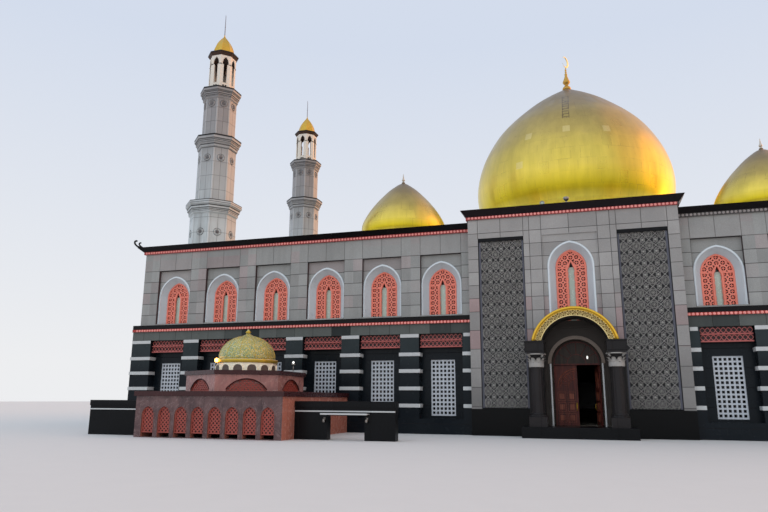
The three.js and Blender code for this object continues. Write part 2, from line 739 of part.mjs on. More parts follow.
for (const [side, sign] of [['left', -1], ['right', 1]]) {
  const { lower, upper } = wing(sign);
  place(`${side}_wing_lower_wall`, lower, 'blackGranite');
  place(`${side}_wing_upper_wall`, upper, 'greyGranite');
}
for (const [name, sign] of [['left_side_wall', -1], ['right_side_wall', 1]]) {
  const angle = (sign * Math.PI) / 2;
  const room = minaretRoom(16).map((cutter) => cutter.rotate([0, 0, -sign * 90]));
  place(name, cutAll(sideWall(sign), room), 'greyGranite', angle);
}
place('rear_wall', rearWall(), 'greyGranite', Math.PI);
place('main_cornice', mainCornice(), 'blackGranite');
place('lower_glazing', glazingRing(glazing.lower), 'glass');
place('upper_glazing', glazingRing(glazing.upper), 'glass');

for (const [name, sign] of [['left', -1], ['right', 1]]) {
  place(`portal_${name}_pier`, portalPier(sign), 'greyGranite');
  place(`${name}_lattice_panel`, latticePanel(sign), 'relief');
  place(`${name}_entrance_column`, entranceColumn(sign), 'blackGranite');
}
place('doorway_wall', doorwayWall(), 'greyGranite');
place('portal_window_wall', portalWindowWall(), 'greyGranite');
place('portal_window_glass', portalWindowGlass(), 'glass');
place('portal_cornice', portalCornice(), 'blackGranite');
place('entrance_landing', landing(), 'blackGranite');
place('entrance_hood', hoodVault(), 'blackGranite');
place('hood_arch', hoodArch(), 'gold');
place('door_frame', doorFrame(), 'wood');

const leaf = leafShut();
place('left_door_leaf', leaf, 'wood');
const rightHinge = new THREE.Group();
rightHinge.position.set(hingeX, hingeY, 0);
rightHinge.rotation.z = -openAngle;
building.add(rightHinge);
const rightLeaf = leaf.mirror([1, 0, 0]).translate([-hingeX, -hingeY, 0]);
place('right_door_leaf', rightLeaf, 'wood', 0, rightHinge);

place('main_drum', mainDrum(), 'greyGranite');
place('main_dome', mainDomeSolid(), 'gold');
place('main_finial', mainFinial(), 'gold');
for (const [row, y] of [['front', -cornerDomeY], ['rear', cornerDomeY]]) {
  for (const [name, x] of [['left', -cornerDomeX], ['right', cornerDomeX]]) {
    place(`${name}_${row}_drum`, cornerDrum(x, y), 'greyGranite');
    place(`${name}_${row}_dome`, cornerDomeSolid(x, y), 'gold');
  }
}
for (const { name, x, y } of minaretPlaces) {
  place(name, cutAll(minaretTower(x, y), lanternCutters(x, y)), 'paleStone');
  place(`${name}_cap`, minaretCap(x, y), 'gold');
}

const annexLeft = annex.x - annex.half;
const annexRight = annex.x + annex.half;
place('annex_block', annexBlock(), 'redMarble');
place('annex_hexagon', annexHexagon(), 'redMarble');
place('annex_drum', annexDrum(), 'cream');
place('annex_dome', annexDome(), 'mosaic');
place('left_garden_wall', gardenWallPiece(gardenWall.left, annexLeft - seat, false), 'blackGranite');
place('right_garden_wall', gardenWallPiece(annexRight + seat, gardenWall.right, true), 'blackGranite');

export default building;
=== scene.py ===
import bmesh
import bpy
import numpy as np
from mathutils import Euler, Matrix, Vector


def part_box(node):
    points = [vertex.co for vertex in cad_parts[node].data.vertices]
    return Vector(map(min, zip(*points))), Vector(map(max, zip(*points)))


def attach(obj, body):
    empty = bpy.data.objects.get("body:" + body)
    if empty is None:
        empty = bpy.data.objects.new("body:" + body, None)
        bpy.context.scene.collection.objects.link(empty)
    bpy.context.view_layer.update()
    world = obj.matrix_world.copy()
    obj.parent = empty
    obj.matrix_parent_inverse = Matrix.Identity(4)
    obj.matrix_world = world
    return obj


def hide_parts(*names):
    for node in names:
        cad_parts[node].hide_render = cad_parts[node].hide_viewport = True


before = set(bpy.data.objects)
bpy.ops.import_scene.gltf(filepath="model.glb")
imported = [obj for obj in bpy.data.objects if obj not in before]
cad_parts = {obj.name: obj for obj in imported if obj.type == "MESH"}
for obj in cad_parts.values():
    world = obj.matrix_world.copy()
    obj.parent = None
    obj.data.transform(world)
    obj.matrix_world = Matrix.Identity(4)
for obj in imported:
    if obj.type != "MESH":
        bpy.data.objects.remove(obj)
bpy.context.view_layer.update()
print("frame loaded")

# Lengths in this file are metres of the real building, and heights count from the lowest
# ground. The model is half that size, so a mesh is halved when it is put together.
halfSize = 0.5


def faceOf(node, side):  # how far the node reaches on one side, in real metres
    low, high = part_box(node)
    return {"left": -low.x, "right": high.x, "front": -low.y, "top": high.z,
            "bottom": low.z}[side] / halfSize


hall = {
    "front": faceOf("right_wing_upper_wall", "front"),
    "side": faceOf("right_wing_upper_wall", "right"),
    "portal": faceOf("doorway_wall", "front"),
    "portalHalf": faceOf("portal_right_pier", "right"),
    "floor": faceOf("floor_slab", "top"),
    "string": faceOf("right_wing_lower_wall", "top"),
    "wallTop": faceOf("right_wing_upper_wall", "top"),
    "bay": 3.904,
    "firstBay": 7.905,
    "recess": 0.2,      # the upper windows stand in panels set back by this
    "setback": 0.3,     # the lower wall between the pilasters
    "pilaster": 0.35,   # how far the pilasters stand out
}

towers = {
    "x": faceOf("right_front_minaret_cap", "right") - 0.93,
    "ys": np.array([-20.0, 0.0]),
    # half width below the collar, half width of the collar, its foot and its top
    "collars": [(1.955, 2.38, 18.35, 19.5), (1.62, 2.02, 24.8, 25.9), (1.43, 1.79, 29.8, 30.85)],
    "clear": 2.1,  # half the gap that the rows of beads leave for a tower
    "medallions": [(1.955, 16.65), (1.62, 23.82), (1.43, 29.3)],  # half width and height
    "lantern": 1.16,
    "eave": (1.34, 34.7, 34.85),
}

# Surfaces: a shape is its points and a list of face tables


def gridFaces(rows, columns, closedRows=False, closedColumns=False):
    # quads between the neighbours of a grid of points, row by row
    r = np.arange(rows if closedRows else rows - 1)
    c = np.arange(columns if closedColumns else columns - 1)
    r, c = [a.ravel() for a in np.meshgrid(r, c, indexing="ij")]
    nextR, nextC = (r + 1) % rows, (c + 1) % columns
    return np.stack([r * columns + c, r * columns + nextC, nextR * columns + nextC, nextR * columns + c],
                    axis=1)


def boxes(low, high):
    # boxes from their low and high corners, all at once: every corner picks low or high on each axis
    low, high = np.atleast_2d(low).astype(float), np.atleast_2d(high).astype(float)
    pick = np.array([[0, 0, 0], [1, 0, 0], [1, 1, 0], [0, 1, 0], [0, 0, 1], [1, 0, 1], [1, 1, 1], [0, 1, 1]])
    faces = np.array([[0, 3, 2, 1], [4, 5, 6, 7], [0, 1, 5, 4], [1, 2, 6, 5], [2, 3, 7, 6], [3, 0, 4, 7]])
    points = np.where(pick[None] == 1, high[:, None], low[:, None]).reshape(-1, 3)
    return points, [(faces[None] + 8 * np.arange(len(low))[:, None, None]).reshape(-1, 4)]


def carried(outline, path, across, outwards, ring=False):
    # a closed outline carried along a path: point = path + a * across + b * outwards, with flat ends
    outline = np.asarray(outline, float)
    across = np.broadcast_to(across, path.shape)
    outwards = np.broadcast_to(outwards, path.shape)
    a, b = outline[None, :, :1], outline[None, :, 1:]
    points = path[:, None] + a * across[:, None] + b * outwards[:, None]
    rows, columns = points.shape[:2]
    faces = [gridFaces(rows, columns, ring, True)]
    if not ring:
        faces.append(np.stack([np.arange(columns)[::-1], (rows - 1) * columns + np.arange(columns)]))
    return points.reshape(-1, 3), faces


def spots(x, y=0.0, z=0.0):  # points from three lists, each of which may be a single number
    return np.column_stack(np.broadcast_arrays(np.asarray(x, float), y, z))


def mirroredBoxes(pairs, sides=(-1, 1)):
    # boxes on both sides of x = 0, from pairs of low and high corners on the right
    corners = np.concatenate([np.array(pairs) * [side, 1, 1] for side in sides])
    return boxes(corners.min(axis=1), corners.max(axis=1))


def circle(radius, sides=8):  # in two coordinates
    a = 2 * np.pi * np.arange(sides) / sides
    return np.column_stack([radius * np.cos(a), radius * np.sin(a)])


def tube(path, radius, sides=6, ring=False, flat=(0, 1, 0)):
    # a round rod along a path that lies in a plane: across is square to both the path and the plane's normal
    path = np.asarray(path, float)
    along = np.gradient(path, axis=0) if not ring else np.roll(path, -1, 0) - np.roll(path, 1, 0)
    along /= np.linalg.norm(along, axis=1)[:, None]
    across = np.cross(along, flat)
    return carried(circle(radius, sides), path, across, np.asarray(flat, float), ring)


def turned(profile, sides, centre=(0, 0), firstAngle=0.0, closed=False):
    # a profile of [radius, height] points about an upright axis: point = centre + (r cos a, r sin a, z)
    profile = np.asarray(profile, float)
    a = firstAngle + 2 * np.pi * np.arange(sides) / sides
    x = centre[0] + profile[:, :1] * np.cos(a)
    y = centre[1] + profile[:, :1] * np.sin(a)
    z = np.broadcast_to(profile[:, 1:], x.shape)
    return np.stack([x, y, z], axis=2).reshape(-1, 3), [gridFaces(len(profile), sides, closed, True)]


def smoothLine(points, between=4):
    # a Catmull-Rom curve through the points
    p = np.asarray(points, float)
    p = np.vstack([2 * p[0] - p[1], p, 2 * p[-1] - p[-2]])
    before, start, end, after = (p[i:len(p) - 3 + i, None] for i in range(4))
    t = np.linspace(0, 1, between, endpoint=False)[:, None]
    curve = 0.5 * (2 * start + (end - before) * t + (2 * before - 5 * start + 4 * end - after) * t ** 2
                   + (3 * start - before - 3 * end + after) * t ** 3)
    return np.vstack([curve.reshape(-1, p.shape[1]), p[-2:-1]])


def moved(shape, offset=(0, 0, 0), angle=0.0):
    # a shape turned about Z by angle, then moved
    points, faces = shape
    c, s = np.cos(angle), np.sin(angle)
    spun = np.column_stack([points[:, 0] * c - points[:, 1] * s, points[:, 0] * s + points[:, 1] * c,
                            points[:, 2]])
    return spun + np.asarray(offset, float), faces


def facingFront(shape):  # a shape made upright about Z, laid over so that its top looks along -Y
    points, faces = shape
    return np.column_stack([points[:, 0], -points[:, 2], points[:, 1]]), faces


def repeated(shape, places, angles=0.0):
    # many copies of a shape in one table: copy k is turned by angles[k] and moved to places[k]
    points, faceTables = shape
    places = np.atleast_2d(np.asarray(places, float))
    angles = np.broadcast_to(angles, len(places))
    c, s = np.cos(angles)[:, None], np.sin(angles)[:, None]
    x = points[:, 0] * c - points[:, 1] * s
    y = points[:, 0] * s + points[:, 1] * c
    copies = np.stack([x, y, np.broadcast_to(points[:, 2], x.shape)], axis=2) + places[:, None]
    start = (np.arange(len(places)) * len(points))[:, None, None]
    return copies.reshape(-1, 3), [(f[None] + start).reshape(-1, f.shape[1]) for f in faceTables]


def joined(shapes):  # several shapes as one
    points, faces, start = [], [], 0
    for shapePoints, faceTables in shapes:
        points.append(shapePoints)
        faces += [table + start for table in faceTables]
        start += len(shapePoints)
    return np.concatenate(points), faces


def makePiece(name, shapes, material, body="building", smooth=False, weld=False, bevel=0.0):
    # puts the shapes into one mesh at half size, with its faces turned outwards
    points, faceTables = joined(shapes)
    sizes = np.concatenate([np.full(len(table), table.shape[1]) for table in faceTables])
    corners = np.concatenate([table.ravel() for table in faceTables])
    mesh = bpy.data.meshes.new(name)
    mesh.vertices.add(len(points))
    mesh.vertices.foreach_set("co", (points * halfSize).astype(np.float32).ravel())
    mesh.loops.add(len(corners))
    mesh.loops.foreach_set("vertex_index", corners.astype(np.int32))
    mesh.polygons.add(len(sizes))
    mesh.polygons.foreach_set("loop_start", (np.cumsum(sizes) - sizes).astype(np.int32))
    mesh.update(calc_edges=True)
    edit = bmesh.new()
    edit.from_mesh(mesh)
    if weld:
        bmesh.ops.remove_doubles(edit, verts=edit.verts, dist=1e-5)
        bmesh.ops.dissolve_degenerate(edit, edges=edit.edges, dist=1e-5)
    bmesh.ops.recalc_face_normals(edit, faces=edit.faces)
    edit.to_mesh(mesh)
    edit.free()
    mesh.polygons.foreach_set("use_smooth", np.full(len(mesh.polygons), smooth))
    mesh.materials.append(material)
    piece = bpy.data.objects.new(name, mesh)
    bpy.context.scene.collection.objects.link(piece)
    if bevel:
        edge = piece.modifiers.new("edges", "BEVEL")
        edge.width = bevel * halfSize
        edge.segments = 1
    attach(piece, body)
    return piece


# Materials: each one is a small node tree, written with these few calls


def linear(red, green, blue):  # a colour given as it looks on screen, 0 to 255
    c = np.array([red, green, blue]) / 255
    c = np.where(c <= 0.04045, c / 12.92, ((c + 0.055) / 1.055) ** 2.4)
    return (float(c[0]), float(c[1]), float(c[2]), 1.0)


class Number:
    # a number made by a node: a sum with it adds the node that does the sum
    def __init__(self, finish, socket):
        self.finish = finish
        self.socket = socket

    def __abs__(self):
        return self.finish.math("ABSOLUTE", self)

    def __add__(self, other):
        return self.finish.math("ADD", self, other)

    def __sub__(self, other):
        return self.finish.math("SUBTRACT", self, other)

    def __rsub__(self, other):
        return self.finish.math("SUBTRACT", other, self)

    def __mul__(self, other):
        return self.finish.math("MULTIPLY", self, other)

    def __truediv__(self, other):
        return self.finish.math("DIVIDE", self, other)

    def __gt__(self, other):
        return self.finish.math("GREATER_THAN", self, other)

    def __lt__(self, other):
        return self.finish.math("LESS_THAN", self, other)


class Finish:
    def __init__(self, name, roughness=0.5, metallic=0.0, specular=0.5):
        self.material = bpy.data.materials.new(name)
        self.material.use_nodes = True
        self.tree = self.material.node_tree
        self.shader = self.tree.nodes["Principled BSDF"]
        self.dial("Roughness", roughness)
        self.dial("Metallic", metallic)
        self.dial("Specular IOR Level", specular)

    def dial(self, name, value):  # a value of the shader: a plain one or one made by a node
        self.feed(self.shader.inputs[name], value)

    def feed(self, socket, value):
        source = value.socket if isinstance(value, Number) else value
        if isinstance(source, bpy.types.NodeSocket):
            self.tree.links.new(source, socket)
        else:
            socket.default_value = source

    def node(self, kind, inputs=(), **settings):
        made = self.tree.nodes.new(kind)
        for key, value in settings.items():
            setattr(made, key, value)
        for key, value in dict(inputs).items():
            self.feed(made.inputs[key], value)
        return made

    def numbers(self, kind, inputs=(), **settings):  # a node's outputs, ready for sums
        return [Number(self, socket) for socket in self.node(kind, inputs, **settings).outputs]

    def math(self, operation, a, b=0.0, c=0.0):
        return self.numbers("ShaderNodeMath", {0: a, 1: b, 2: c}, operation=operation)[0]

    def place(self):  # the object's own coordinates in real metres: x, y, z
        source = self.node("ShaderNodeTexCoord").outputs["Object"]
        real = self.node("ShaderNodeVectorMath", {0: source, "Scale": 1 / halfSize}, operation="SCALE")
        self.where = real.outputs[0]
        return self.numbers("ShaderNodeSeparateXYZ", {0: self.where})

    def trueNormal(self):
        return self.node("ShaderNodeNewGeometry").outputs["True Normal"]

    def facing(self):  # the face's direction: x, y, z
        return self.numbers("ShaderNodeSeparateXYZ", {0: self.trueNormal()})

    def mix(self, factor, a, b):
        return self.node("ShaderNodeMix", {"Factor": factor, 6: a, 7: b}, data_type="RGBA").outputs[2]

    def blend(self, factor, a, b):  # the same for plain numbers
        return self.numbers("ShaderNodeMix", {"Factor": factor, 2: a, 3: b}, data_type="FLOAT")[0]

    def rise(self, value, low, high):  # 0 below low, 1 above high
        return self.numbers("ShaderNodeMapRange", {0: value, 1: low, 2: high})[0]

    def between(self, value, low, high):
        return (value > low) * (value < high)

    def noise(self, scale, detail=3.0, rough=0.5, stretch=None, twist=0.0):
        where = self.where
        if stretch:
            where = self.node("ShaderNodeVectorMath", {0: where, 1: stretch},
                              operation="MULTIPLY").outputs[0]
        values = {"Vector": where, "Scale": scale, "Detail": detail, "Roughness": rough, "Distortion": twist}
        return self.numbers("ShaderNodeTexNoise", values)[0]

    def cells(self, scale, feature="F1"):  # distance, colour and more of a Voronoi pattern
        return self.numbers("ShaderNodeTexVoronoi", {"Vector": self.where, "Scale": scale}, feature=feature)

    def chance(self, *numbers):  # a fixed random number for each set of whole numbers
        joinedUp = self.node("ShaderNodeCombineXYZ", dict(enumerate(numbers))).outputs[0]
        return self.numbers("ShaderNodeTexWhiteNoise", {"Vector": joinedUp}, noise_dimensions="3D")[0]

    def lines(self, value, pitch, start, width):  # 1 on thin lines at start + whole multiples of pitch
        away = self.math("PINGPONG", value - start, pitch / 2)
        return self.rise(away, width, width * 0.4)

    def line(self, value, at, width):  # 1 on one thin line
        return self.rise(abs(value - at), width, width * 0.4)

    def either(self, *values):
        result = values[0]
        for value in values[1:]:
            result = self.math("MAXIMUM", result, value)
        return result

    def shade(self, colour, amount):  # colour times a number near 1
        grey = self.node("ShaderNodeCombineColor", {0: amount, 1: amount, 2: amount}).outputs[0]
        inputs = {"Factor": 1.0, 6: colour, 7: grey}
        return self.node("ShaderNodeMix", inputs, data_type="RGBA", blend_type="MULTIPLY").outputs[2]

    def vary(self, colour, value, low, high):  # colour times low to high, as the value goes from 0 to 1
        return self.shade(colour, self.blend(value, low, high))

    def done(self, colour, roughness=None, height=None, distance=0.01, strength=1.0, flat=False):
        self.dial("Base Color", colour)
        if roughness is not None:
            self.dial("Roughness", roughness)
        if height is not None:
            bump = self.node("ShaderNodeBump", {"Height": height})
            bump.inputs["Distance"].default_value = distance * halfSize
            bump.inputs["Strength"].default_value = strength
            if flat:  # crisp faces on a solid with blunt corners
                self.feed(bump.inputs["Normal"], self.trueNormal())
            self.dial("Normal", bump.outputs[0])
        return self.material


wallStone = {
    "slab": linear(154, 154, 150),
    "slabWarm": linear(160, 149, 146),
    # painted shade: the colour given to the sides of the panel recesses and to the lintel's underside
    "recess": linear(84, 68, 68),
    "fascia": linear(94, 98, 94),
    "fasciaDark": linear(40, 46, 46),
    "pilaster": linear(44, 52, 54),
    "panel": linear(20, 26, 31),
    "bead": linear(166, 66, 60),
    "crown": linear(14, 12, 13),
    "plaster": linear(214, 205, 190),
    "course": 0.8,
    "joint": 0.022,
    "panelHalf": 1.32,    # half width of the panel round each upper window
    "head": 11.03,        # the joint above the windows
    "fasciaFoot": 5.98,
    "beadFoot": 6.59,
    "crownFoot": 6.755,
}


def wallFinish():
    # upper storey: grey slabs whose joints follow the window panels; below the string course: polished
    # dark slabs, greener on the pilasters and the fascia; inside the hall: plaster
    v = wallStone
    f = Finish("wall_stone", specular=0.13)
    head, panelHalf = v["head"], v["panelHalf"]
    x, y, z = f.place()
    nx, ny, nz = f.facing()
    sideways = abs(nx) > 0.7
    ax, ay = abs(x), abs(y)
    along = f.blend(sideways, ax - hall["firstBay"], ay)
    fromBay = f.math("PINGPONG", along, hall["bay"] / 2)
    bayNumber = f.math("ROUND", along / hall["bay"])
    onPier = fromBay > panelHalf
    upper = z > hall["string"] - 0.01
    lintel = z > head
    courses = f.lines(z, v["course"], head, v["joint"])
    level = 1.0 - (z > head + 0.05)
    aboveWindow = f.either(f.line(fromBay, panelHalf, v["joint"]), f.line(fromBay, 0.0, v["joint"]))
    uprights = f.either(lintel * aboveWindow, f.line(fromBay, panelHalf, 0.014))
    upperJoint = f.either(courses * level, uprights)
    courseNumber = f.math("FLOOR", (z - head) / v["course"])
    tone = f.chance(bayNumber, courseNumber * (1.0 - lintel), onPier + sideways * 3.0)
    cloudy = f.noise(0.6, 4.0)
    slab = f.mix(f.rise(f.chance(courseNumber, bayNumber, onPier), 0.55, 1.0), v["slab"], v["slabWarm"])
    slab = f.vary(slab, tone, 0.88, 1.1)
    slab = f.vary(slab, cloudy, 0.86, 1.14)
    streak = f.noise(1.4, 5.0, 0.6, (1.0, 1.0, 0.12))
    slab = f.vary(slab, f.rise(streak, 0.5, 0.75), 1.0, 0.86)

    fasciaTone = f.chance(f.math("ROUND", along / (hall["bay"] / 3)), 5.0, sideways)
    fascia = f.mix(f.rise(fasciaTone, 0.62, 0.8), v["fascia"], v["fasciaDark"])
    outside = f.blend(sideways, ay - hall["front"], ax - hall["side"])
    onPilaster = outside > 0.2
    lower = f.mix(onPilaster, v["panel"], f.mix(f.rise(z, 3.6, 5.0), v["panel"], v["pilaster"]))
    lower = f.vary(lower, f.noise(0.9, 4.0), 0.75, 1.25)
    lower = f.mix(z > v["fasciaFoot"], lower, f.vary(fascia, streak, 0.8, 1.15))
    lower = f.mix(z > v["beadFoot"], lower, v["bead"])
    lower = f.mix(z > v["crownFoot"], lower, v["crown"])
    fasciaJoint = f.lines(along, hall["bay"] / 3, hall["bay"] / 6, 0.016)
    fasciaJoint = fasciaJoint * f.between(z, v["fasciaFoot"], v["beadFoot"])
    lowerJoint = f.either(fasciaJoint, f.lines(z, 1.06, 0.6, 0.012) * (z < v["fasciaFoot"]))

    # painted shade: the sides of the window panels and the underside of the lintel take the dark recess
    # colour
    nearFront, nearSide = ay > hall["front"] - 0.5, ax > hall["side"] - 0.5
    recessSideShade = f.blend(sideways, nearSide * (1.0 - nearFront), nearFront * (1.0 - nearSide))
    lintelShade = (nz < -0.7) * (z > 10.0)
    slab = f.mix((abs(nz) < 0.5) * recessSideShade, slab, v["recess"])
    slab = f.mix(lintelShade, slab, v["recess"])
    colour = f.mix(upper, lower, slab)
    joint = f.blend(upper, lowerJoint, upperJoint)
    colour = f.mix(joint * f.blend(lintel, 0.8, 0.5), colour, linear(38, 34, 33))
    grain = f.cells(26.0)[0]
    colour = f.vary(colour, grain, 0.9, 1.12)
    inside = (ax < hall["side"] - 0.79) * (ay < hall["front"] - 0.79)
    colour = f.mix(inside, colour, v["plaster"])
    rough = f.blend(upper, f.blend(f.noise(3.0), 0.16, 0.34), f.blend(grain, 0.42, 0.58))
    height = grain * 0.12 - joint
    return f.done(colour, rough, height, 0.012)


portalStone = {
    "slab": linear(161, 158, 154),
    "slabPink": linear(168, 147, 144),
    "hoodShadow": linear(58, 53, 49),
    "plinth": linear(7, 8, 9),
    # painted shade for the set-back sides of the panel recesses
    "edge": linear(52, 60, 66),
    "joint": 0.02,
    "change": 7.17,       # below it the courses are 1.11 m high, above it 0.805 m
    "courses": (1.11, 0.805),
    "plinthTop": 1.5,
    "archFoot": 4.72,
    "topCourse": 11.68,
    "uprights": (1.6, 2.3),
    "topUprights": (4.02, 0.0, 5.4, 2.65),
}


def portalFinish():
    # courses of 0.8 m above the hood and 1.1 m below it, pinkish near the change, on a polished plinth;
    # painted shade darkens the wall under the hood, the doorway's reveal, the sides of the panel recesses and
    # the stone towards the bottom
    v = portalStone
    f = Finish("portal_stone", specular=0.12)
    x, y, z = f.place()
    ax = abs(x)
    high = z > v["change"]
    pitch = f.blend(high, *v["courses"])
    steps = (z - v["change"]) / pitch
    away = f.math("PINGPONG", steps, 0.5) * pitch
    courses = f.rise(away, v["joint"], v["joint"] * 0.4)
    courseNumber = f.math("FLOOR", steps)
    uprights = [f.line(ax, at, v["joint"]) for at in v["uprights"]]
    onTop = z > v["topCourse"]
    upright = f.either(*uprights, onTop * f.either(*[f.line(ax, at, v["joint"]) for at in v["topUprights"]]))
    column = (ax > 1.6) + ((ax > 2.3) + (ax > 5.3))
    column = column + (x > 0.0) * 5.0
    tone = f.chance(courseNumber, column, 2.0)
    pink = f.rise(f.chance(courseNumber, column, 9.0), 0.3, 0.7) * f.between(z, 4.9, 8.0)
    colour = f.mix(pink, v["slab"], v["slabPink"])
    colour = f.vary(colour, tone, 0.86, 1.1)
    colour = f.vary(colour, f.noise(0.8, 4.0), 0.85, 1.15)
    grain = f.cells(26.0)[0]
    colour = f.vary(colour, grain, 0.88, 1.12)
    joint = f.either(courses * (z < 12.1), upright)
    colour = f.mix(joint * 0.8, colour, linear(36, 33, 33))
    # painted shade: the stone grows darker towards the bottom
    colour = f.vary(colour, f.rise(z, 2.0, 8.5), 0.66, 1.0)
    low = z < v["plinthTop"]
    # painted shade: the set-back sides of the carved panels' recesses take the dark edge colour
    inPanel = f.between(ax, 2.6, 5.42) * (abs(y) < hall["portal"] - 0.01)
    dark = inPanel * (abs(y) > hall["portal"] - 0.35)
    colour = f.mix(dark, colour, v["edge"])
    colour = f.mix(low, colour, f.vary(v["plinth"], f.noise(2.0), 0.7, 1.3))
    # painted shade: the wall within the hood's arch and the doorway's reveal below 6 m are darkened
    reveal = (ax < 1.5) * f.between(abs(y), 30.72, hall["portal"] - 0.01)
    over = f.math("MAXIMUM", z - v["archFoot"], 0.0)
    fromCentre = f.math("SQRT", x * x + over * over)
    inHoodShadow = (fromCentre < 1.9) * (y < -31.0)
    colour = f.mix(inHoodShadow, colour, f.vary(v["hoodShadow"], f.noise(1.5, 4.0), 0.8, 1.2))
    revealShade = reveal * (z < 6.0)
    colour = f.mix(revealShade, colour, linear(78, 66, 56))
    rough = f.blend(low, f.blend(grain, 0.42, 0.6), 0.2)
    height = grain * 0.12 - joint * (1.0 - low)
    return f.done(colour, rough, height, 0.012)


blackStone = {
    "base": linear(15, 16, 18),
    "fleck": linear(44, 46, 48),
    "bead": linear(160, 70, 70),
    "paleBead": linear(84, 80, 78),
    "joint": 0.012,
}


def blackFinish(name, beadLow=None, beadHigh=None, tint=None):
    # near-black polished stone with fine flecks and slab joints; the bead band has a red ground
    v = blackStone
    f = Finish(name, specular=0.12)
    x, y, z = f.place()
    flecks = f.rise(f.noise(30.0, 2.0), 0.6, 0.75)
    colour = f.mix(flecks, tint or v["base"], v["fleck"])
    colour = f.vary(colour, f.noise(0.7, 4.0), 0.75, 1.25)
    joint = f.either(f.lines(x, 1.952, 0.0, v["joint"]), f.lines(y, 1.952, 0.0, v["joint"]))
    nx, ny, nz = f.facing()
    joint = joint * (abs(nz) < 0.6)
    colour = f.mix(joint * 0.6, colour, linear(8, 8, 9))
    rough = f.blend(f.noise(4.0), 0.22, 0.4)
    if beadLow is not None:
        ground = f.mix((x > hall["portalHalf"]) * (y < -30.0), v["bead"], v["paleBead"])
        colour = f.mix(f.between(z, beadLow, beadHigh), colour, ground)
    return f.done(colour, rough, joint * -1.0, 0.008)


def paleFinish(name, base, tile=2.4, roughness=(0.3, 0.45)):
    # pale slabs in a square grid with faint clouds
    f = Finish(name)
    x, y, z = f.place()
    joint = f.either(f.lines(x, tile, 0.0, 0.012), f.lines(y, tile, 0.0, 0.012))
    tone = f.chance(f.math("FLOOR", x / tile), f.math("FLOOR", y / tile), 1.0)
    colour = f.vary(base, tone, 0.92, 1.06)
    colour = f.vary(colour, f.noise(0.5, 5.0), 0.85, 1.12)
    colour = f.mix(joint * 0.6, colour, linear(90, 86, 80))
    rough = f.blend(f.noise(2.0), roughness[0], roughness[1])
    return f.done(colour, rough, joint * -1.0, 0.006)


minaretStone = {
    "slab": linear(196, 203, 202),
    "high": linear(150, 147, 146),
    "dark": linear(146, 144, 140),
    "lantern": linear(226, 218, 204),
    "joint": linear(70, 70, 72),
    "edge": linear(232, 232, 230),
    "eaveShade": linear(66, 46, 34),
    # painted sunlight for the faces that look towards +X
    "paintedSun": linear(250, 222, 200),
    "course": 1.36,
}


def minaretFinish():
    # pale slabs that grow duller upwards: level joints, one upright joint down each of the eight faces, pale
    # strips along the corners, darker just under the collars, painted shadow lines under the collar mouldings
    # and painted sunlight on the faces towards +X; painted shade makes the lantern dark brown inside its
    # heads and under the eave. The angle is measured about the nearest minaret's own axis
    v = minaretStone
    f = Finish("minaret_stone", specular=0.3)
    x, y, z = f.place()
    nx, ny, nz = f.facing()
    spacing = float(towers["ys"][1] - towers["ys"][0])
    lx = abs(x) - towers["x"]
    ly = y - f.math("ROUND", y / spacing) * spacing
    angle = f.math("ARCTAN2", ly, lx)
    eighth = np.pi / 4
    faceNumber = f.math("ROUND", angle / eighth)
    off = angle - faceNumber * eighth
    reach = f.math("SQRT", lx * lx + ly * ly)
    aside = abs(f.math("SINE", off) * reach)
    flatReach = f.math("COSINE", off) * reach
    toEdge = flatReach * float(np.tan(eighth / 2)) - aside
    courses = f.lines(z, v["course"], 0.3, 0.022)
    middle = f.line(aside, 0.0, 0.02)
    edgeLine = f.line(toEdge, 0.13, 0.016)
    inCollar = f.either(*[f.between(z, low, high + 0.02) for neck, out, low, high in towers["collars"]])
    lantern = z > towers["collars"][2][3] + 0.02
    plain = 1.0 - f.either(inCollar, lantern)
    joint = f.either(courses, middle, edgeLine) * plain
    courseNumber = f.math("FLOOR", (z - 0.3) / v["course"])
    tone = f.chance(courseNumber, faceNumber + f.math("SIGN", off), f.math("SIGN", x))
    colour = f.mix(f.rise(z, 17.0, 28.0), v["slab"], v["high"])
    colour = f.vary(colour, tone, 0.9, 1.06)
    colour = f.mix(f.rise(f.noise(1.2, 5.0, 0.6, (1.0, 1.0, 0.15)), 0.5, 0.8) * 0.8, colour, v["dark"])
    colour = f.vary(colour, f.noise(0.7, 4.0), 0.92, 1.08)
    strip = (toEdge < 0.12) * plain
    colour = f.mix(strip * 0.2, colour, v["edge"])
    colour = f.mix(lantern, colour, v["lantern"])
    # painted sunlight: faces that look towards +X are warmer and paler
    colour = f.mix(f.rise(nx, 0.75, 0.98) * 0.4, colour, v["paintedSun"])
    # darker just under each collar
    for neck, out, low, high in towers["collars"]:
        belowCollar = f.rise(z, low - 0.9, low) * (z < low)
        colour = f.vary(colour, belowCollar, 1.0, 0.86)
    # painted shadow: dark lines under the mouldings of the collars
    collarShadowLines = inCollar * f.lines(z, 0.26, 0.1, 0.05)
    colour = f.mix(collarShadowLines * 0.75, colour, v["joint"])
    colour = f.mix(joint * 0.7, colour, v["joint"])
    colour = f.mix((nz > 0.6) * 0.8, colour, linear(70, 66, 64))
    # painted shade: dark brown inside the lantern's heads and in a band under the eave
    within = (flatReach < towers["lantern"] - 0.03) * lantern
    colour = f.mix(within * f.rise(z, 32.0, 33.6), colour, v["eaveShade"])
    colour = f.mix(z > towers["eave"][1] - 0.25, colour, v["eaveShade"])
    return f.done(colour, f.blend(f.noise(3.0), 0.5, 0.7), joint * -1.0, 0.012, flat=True)


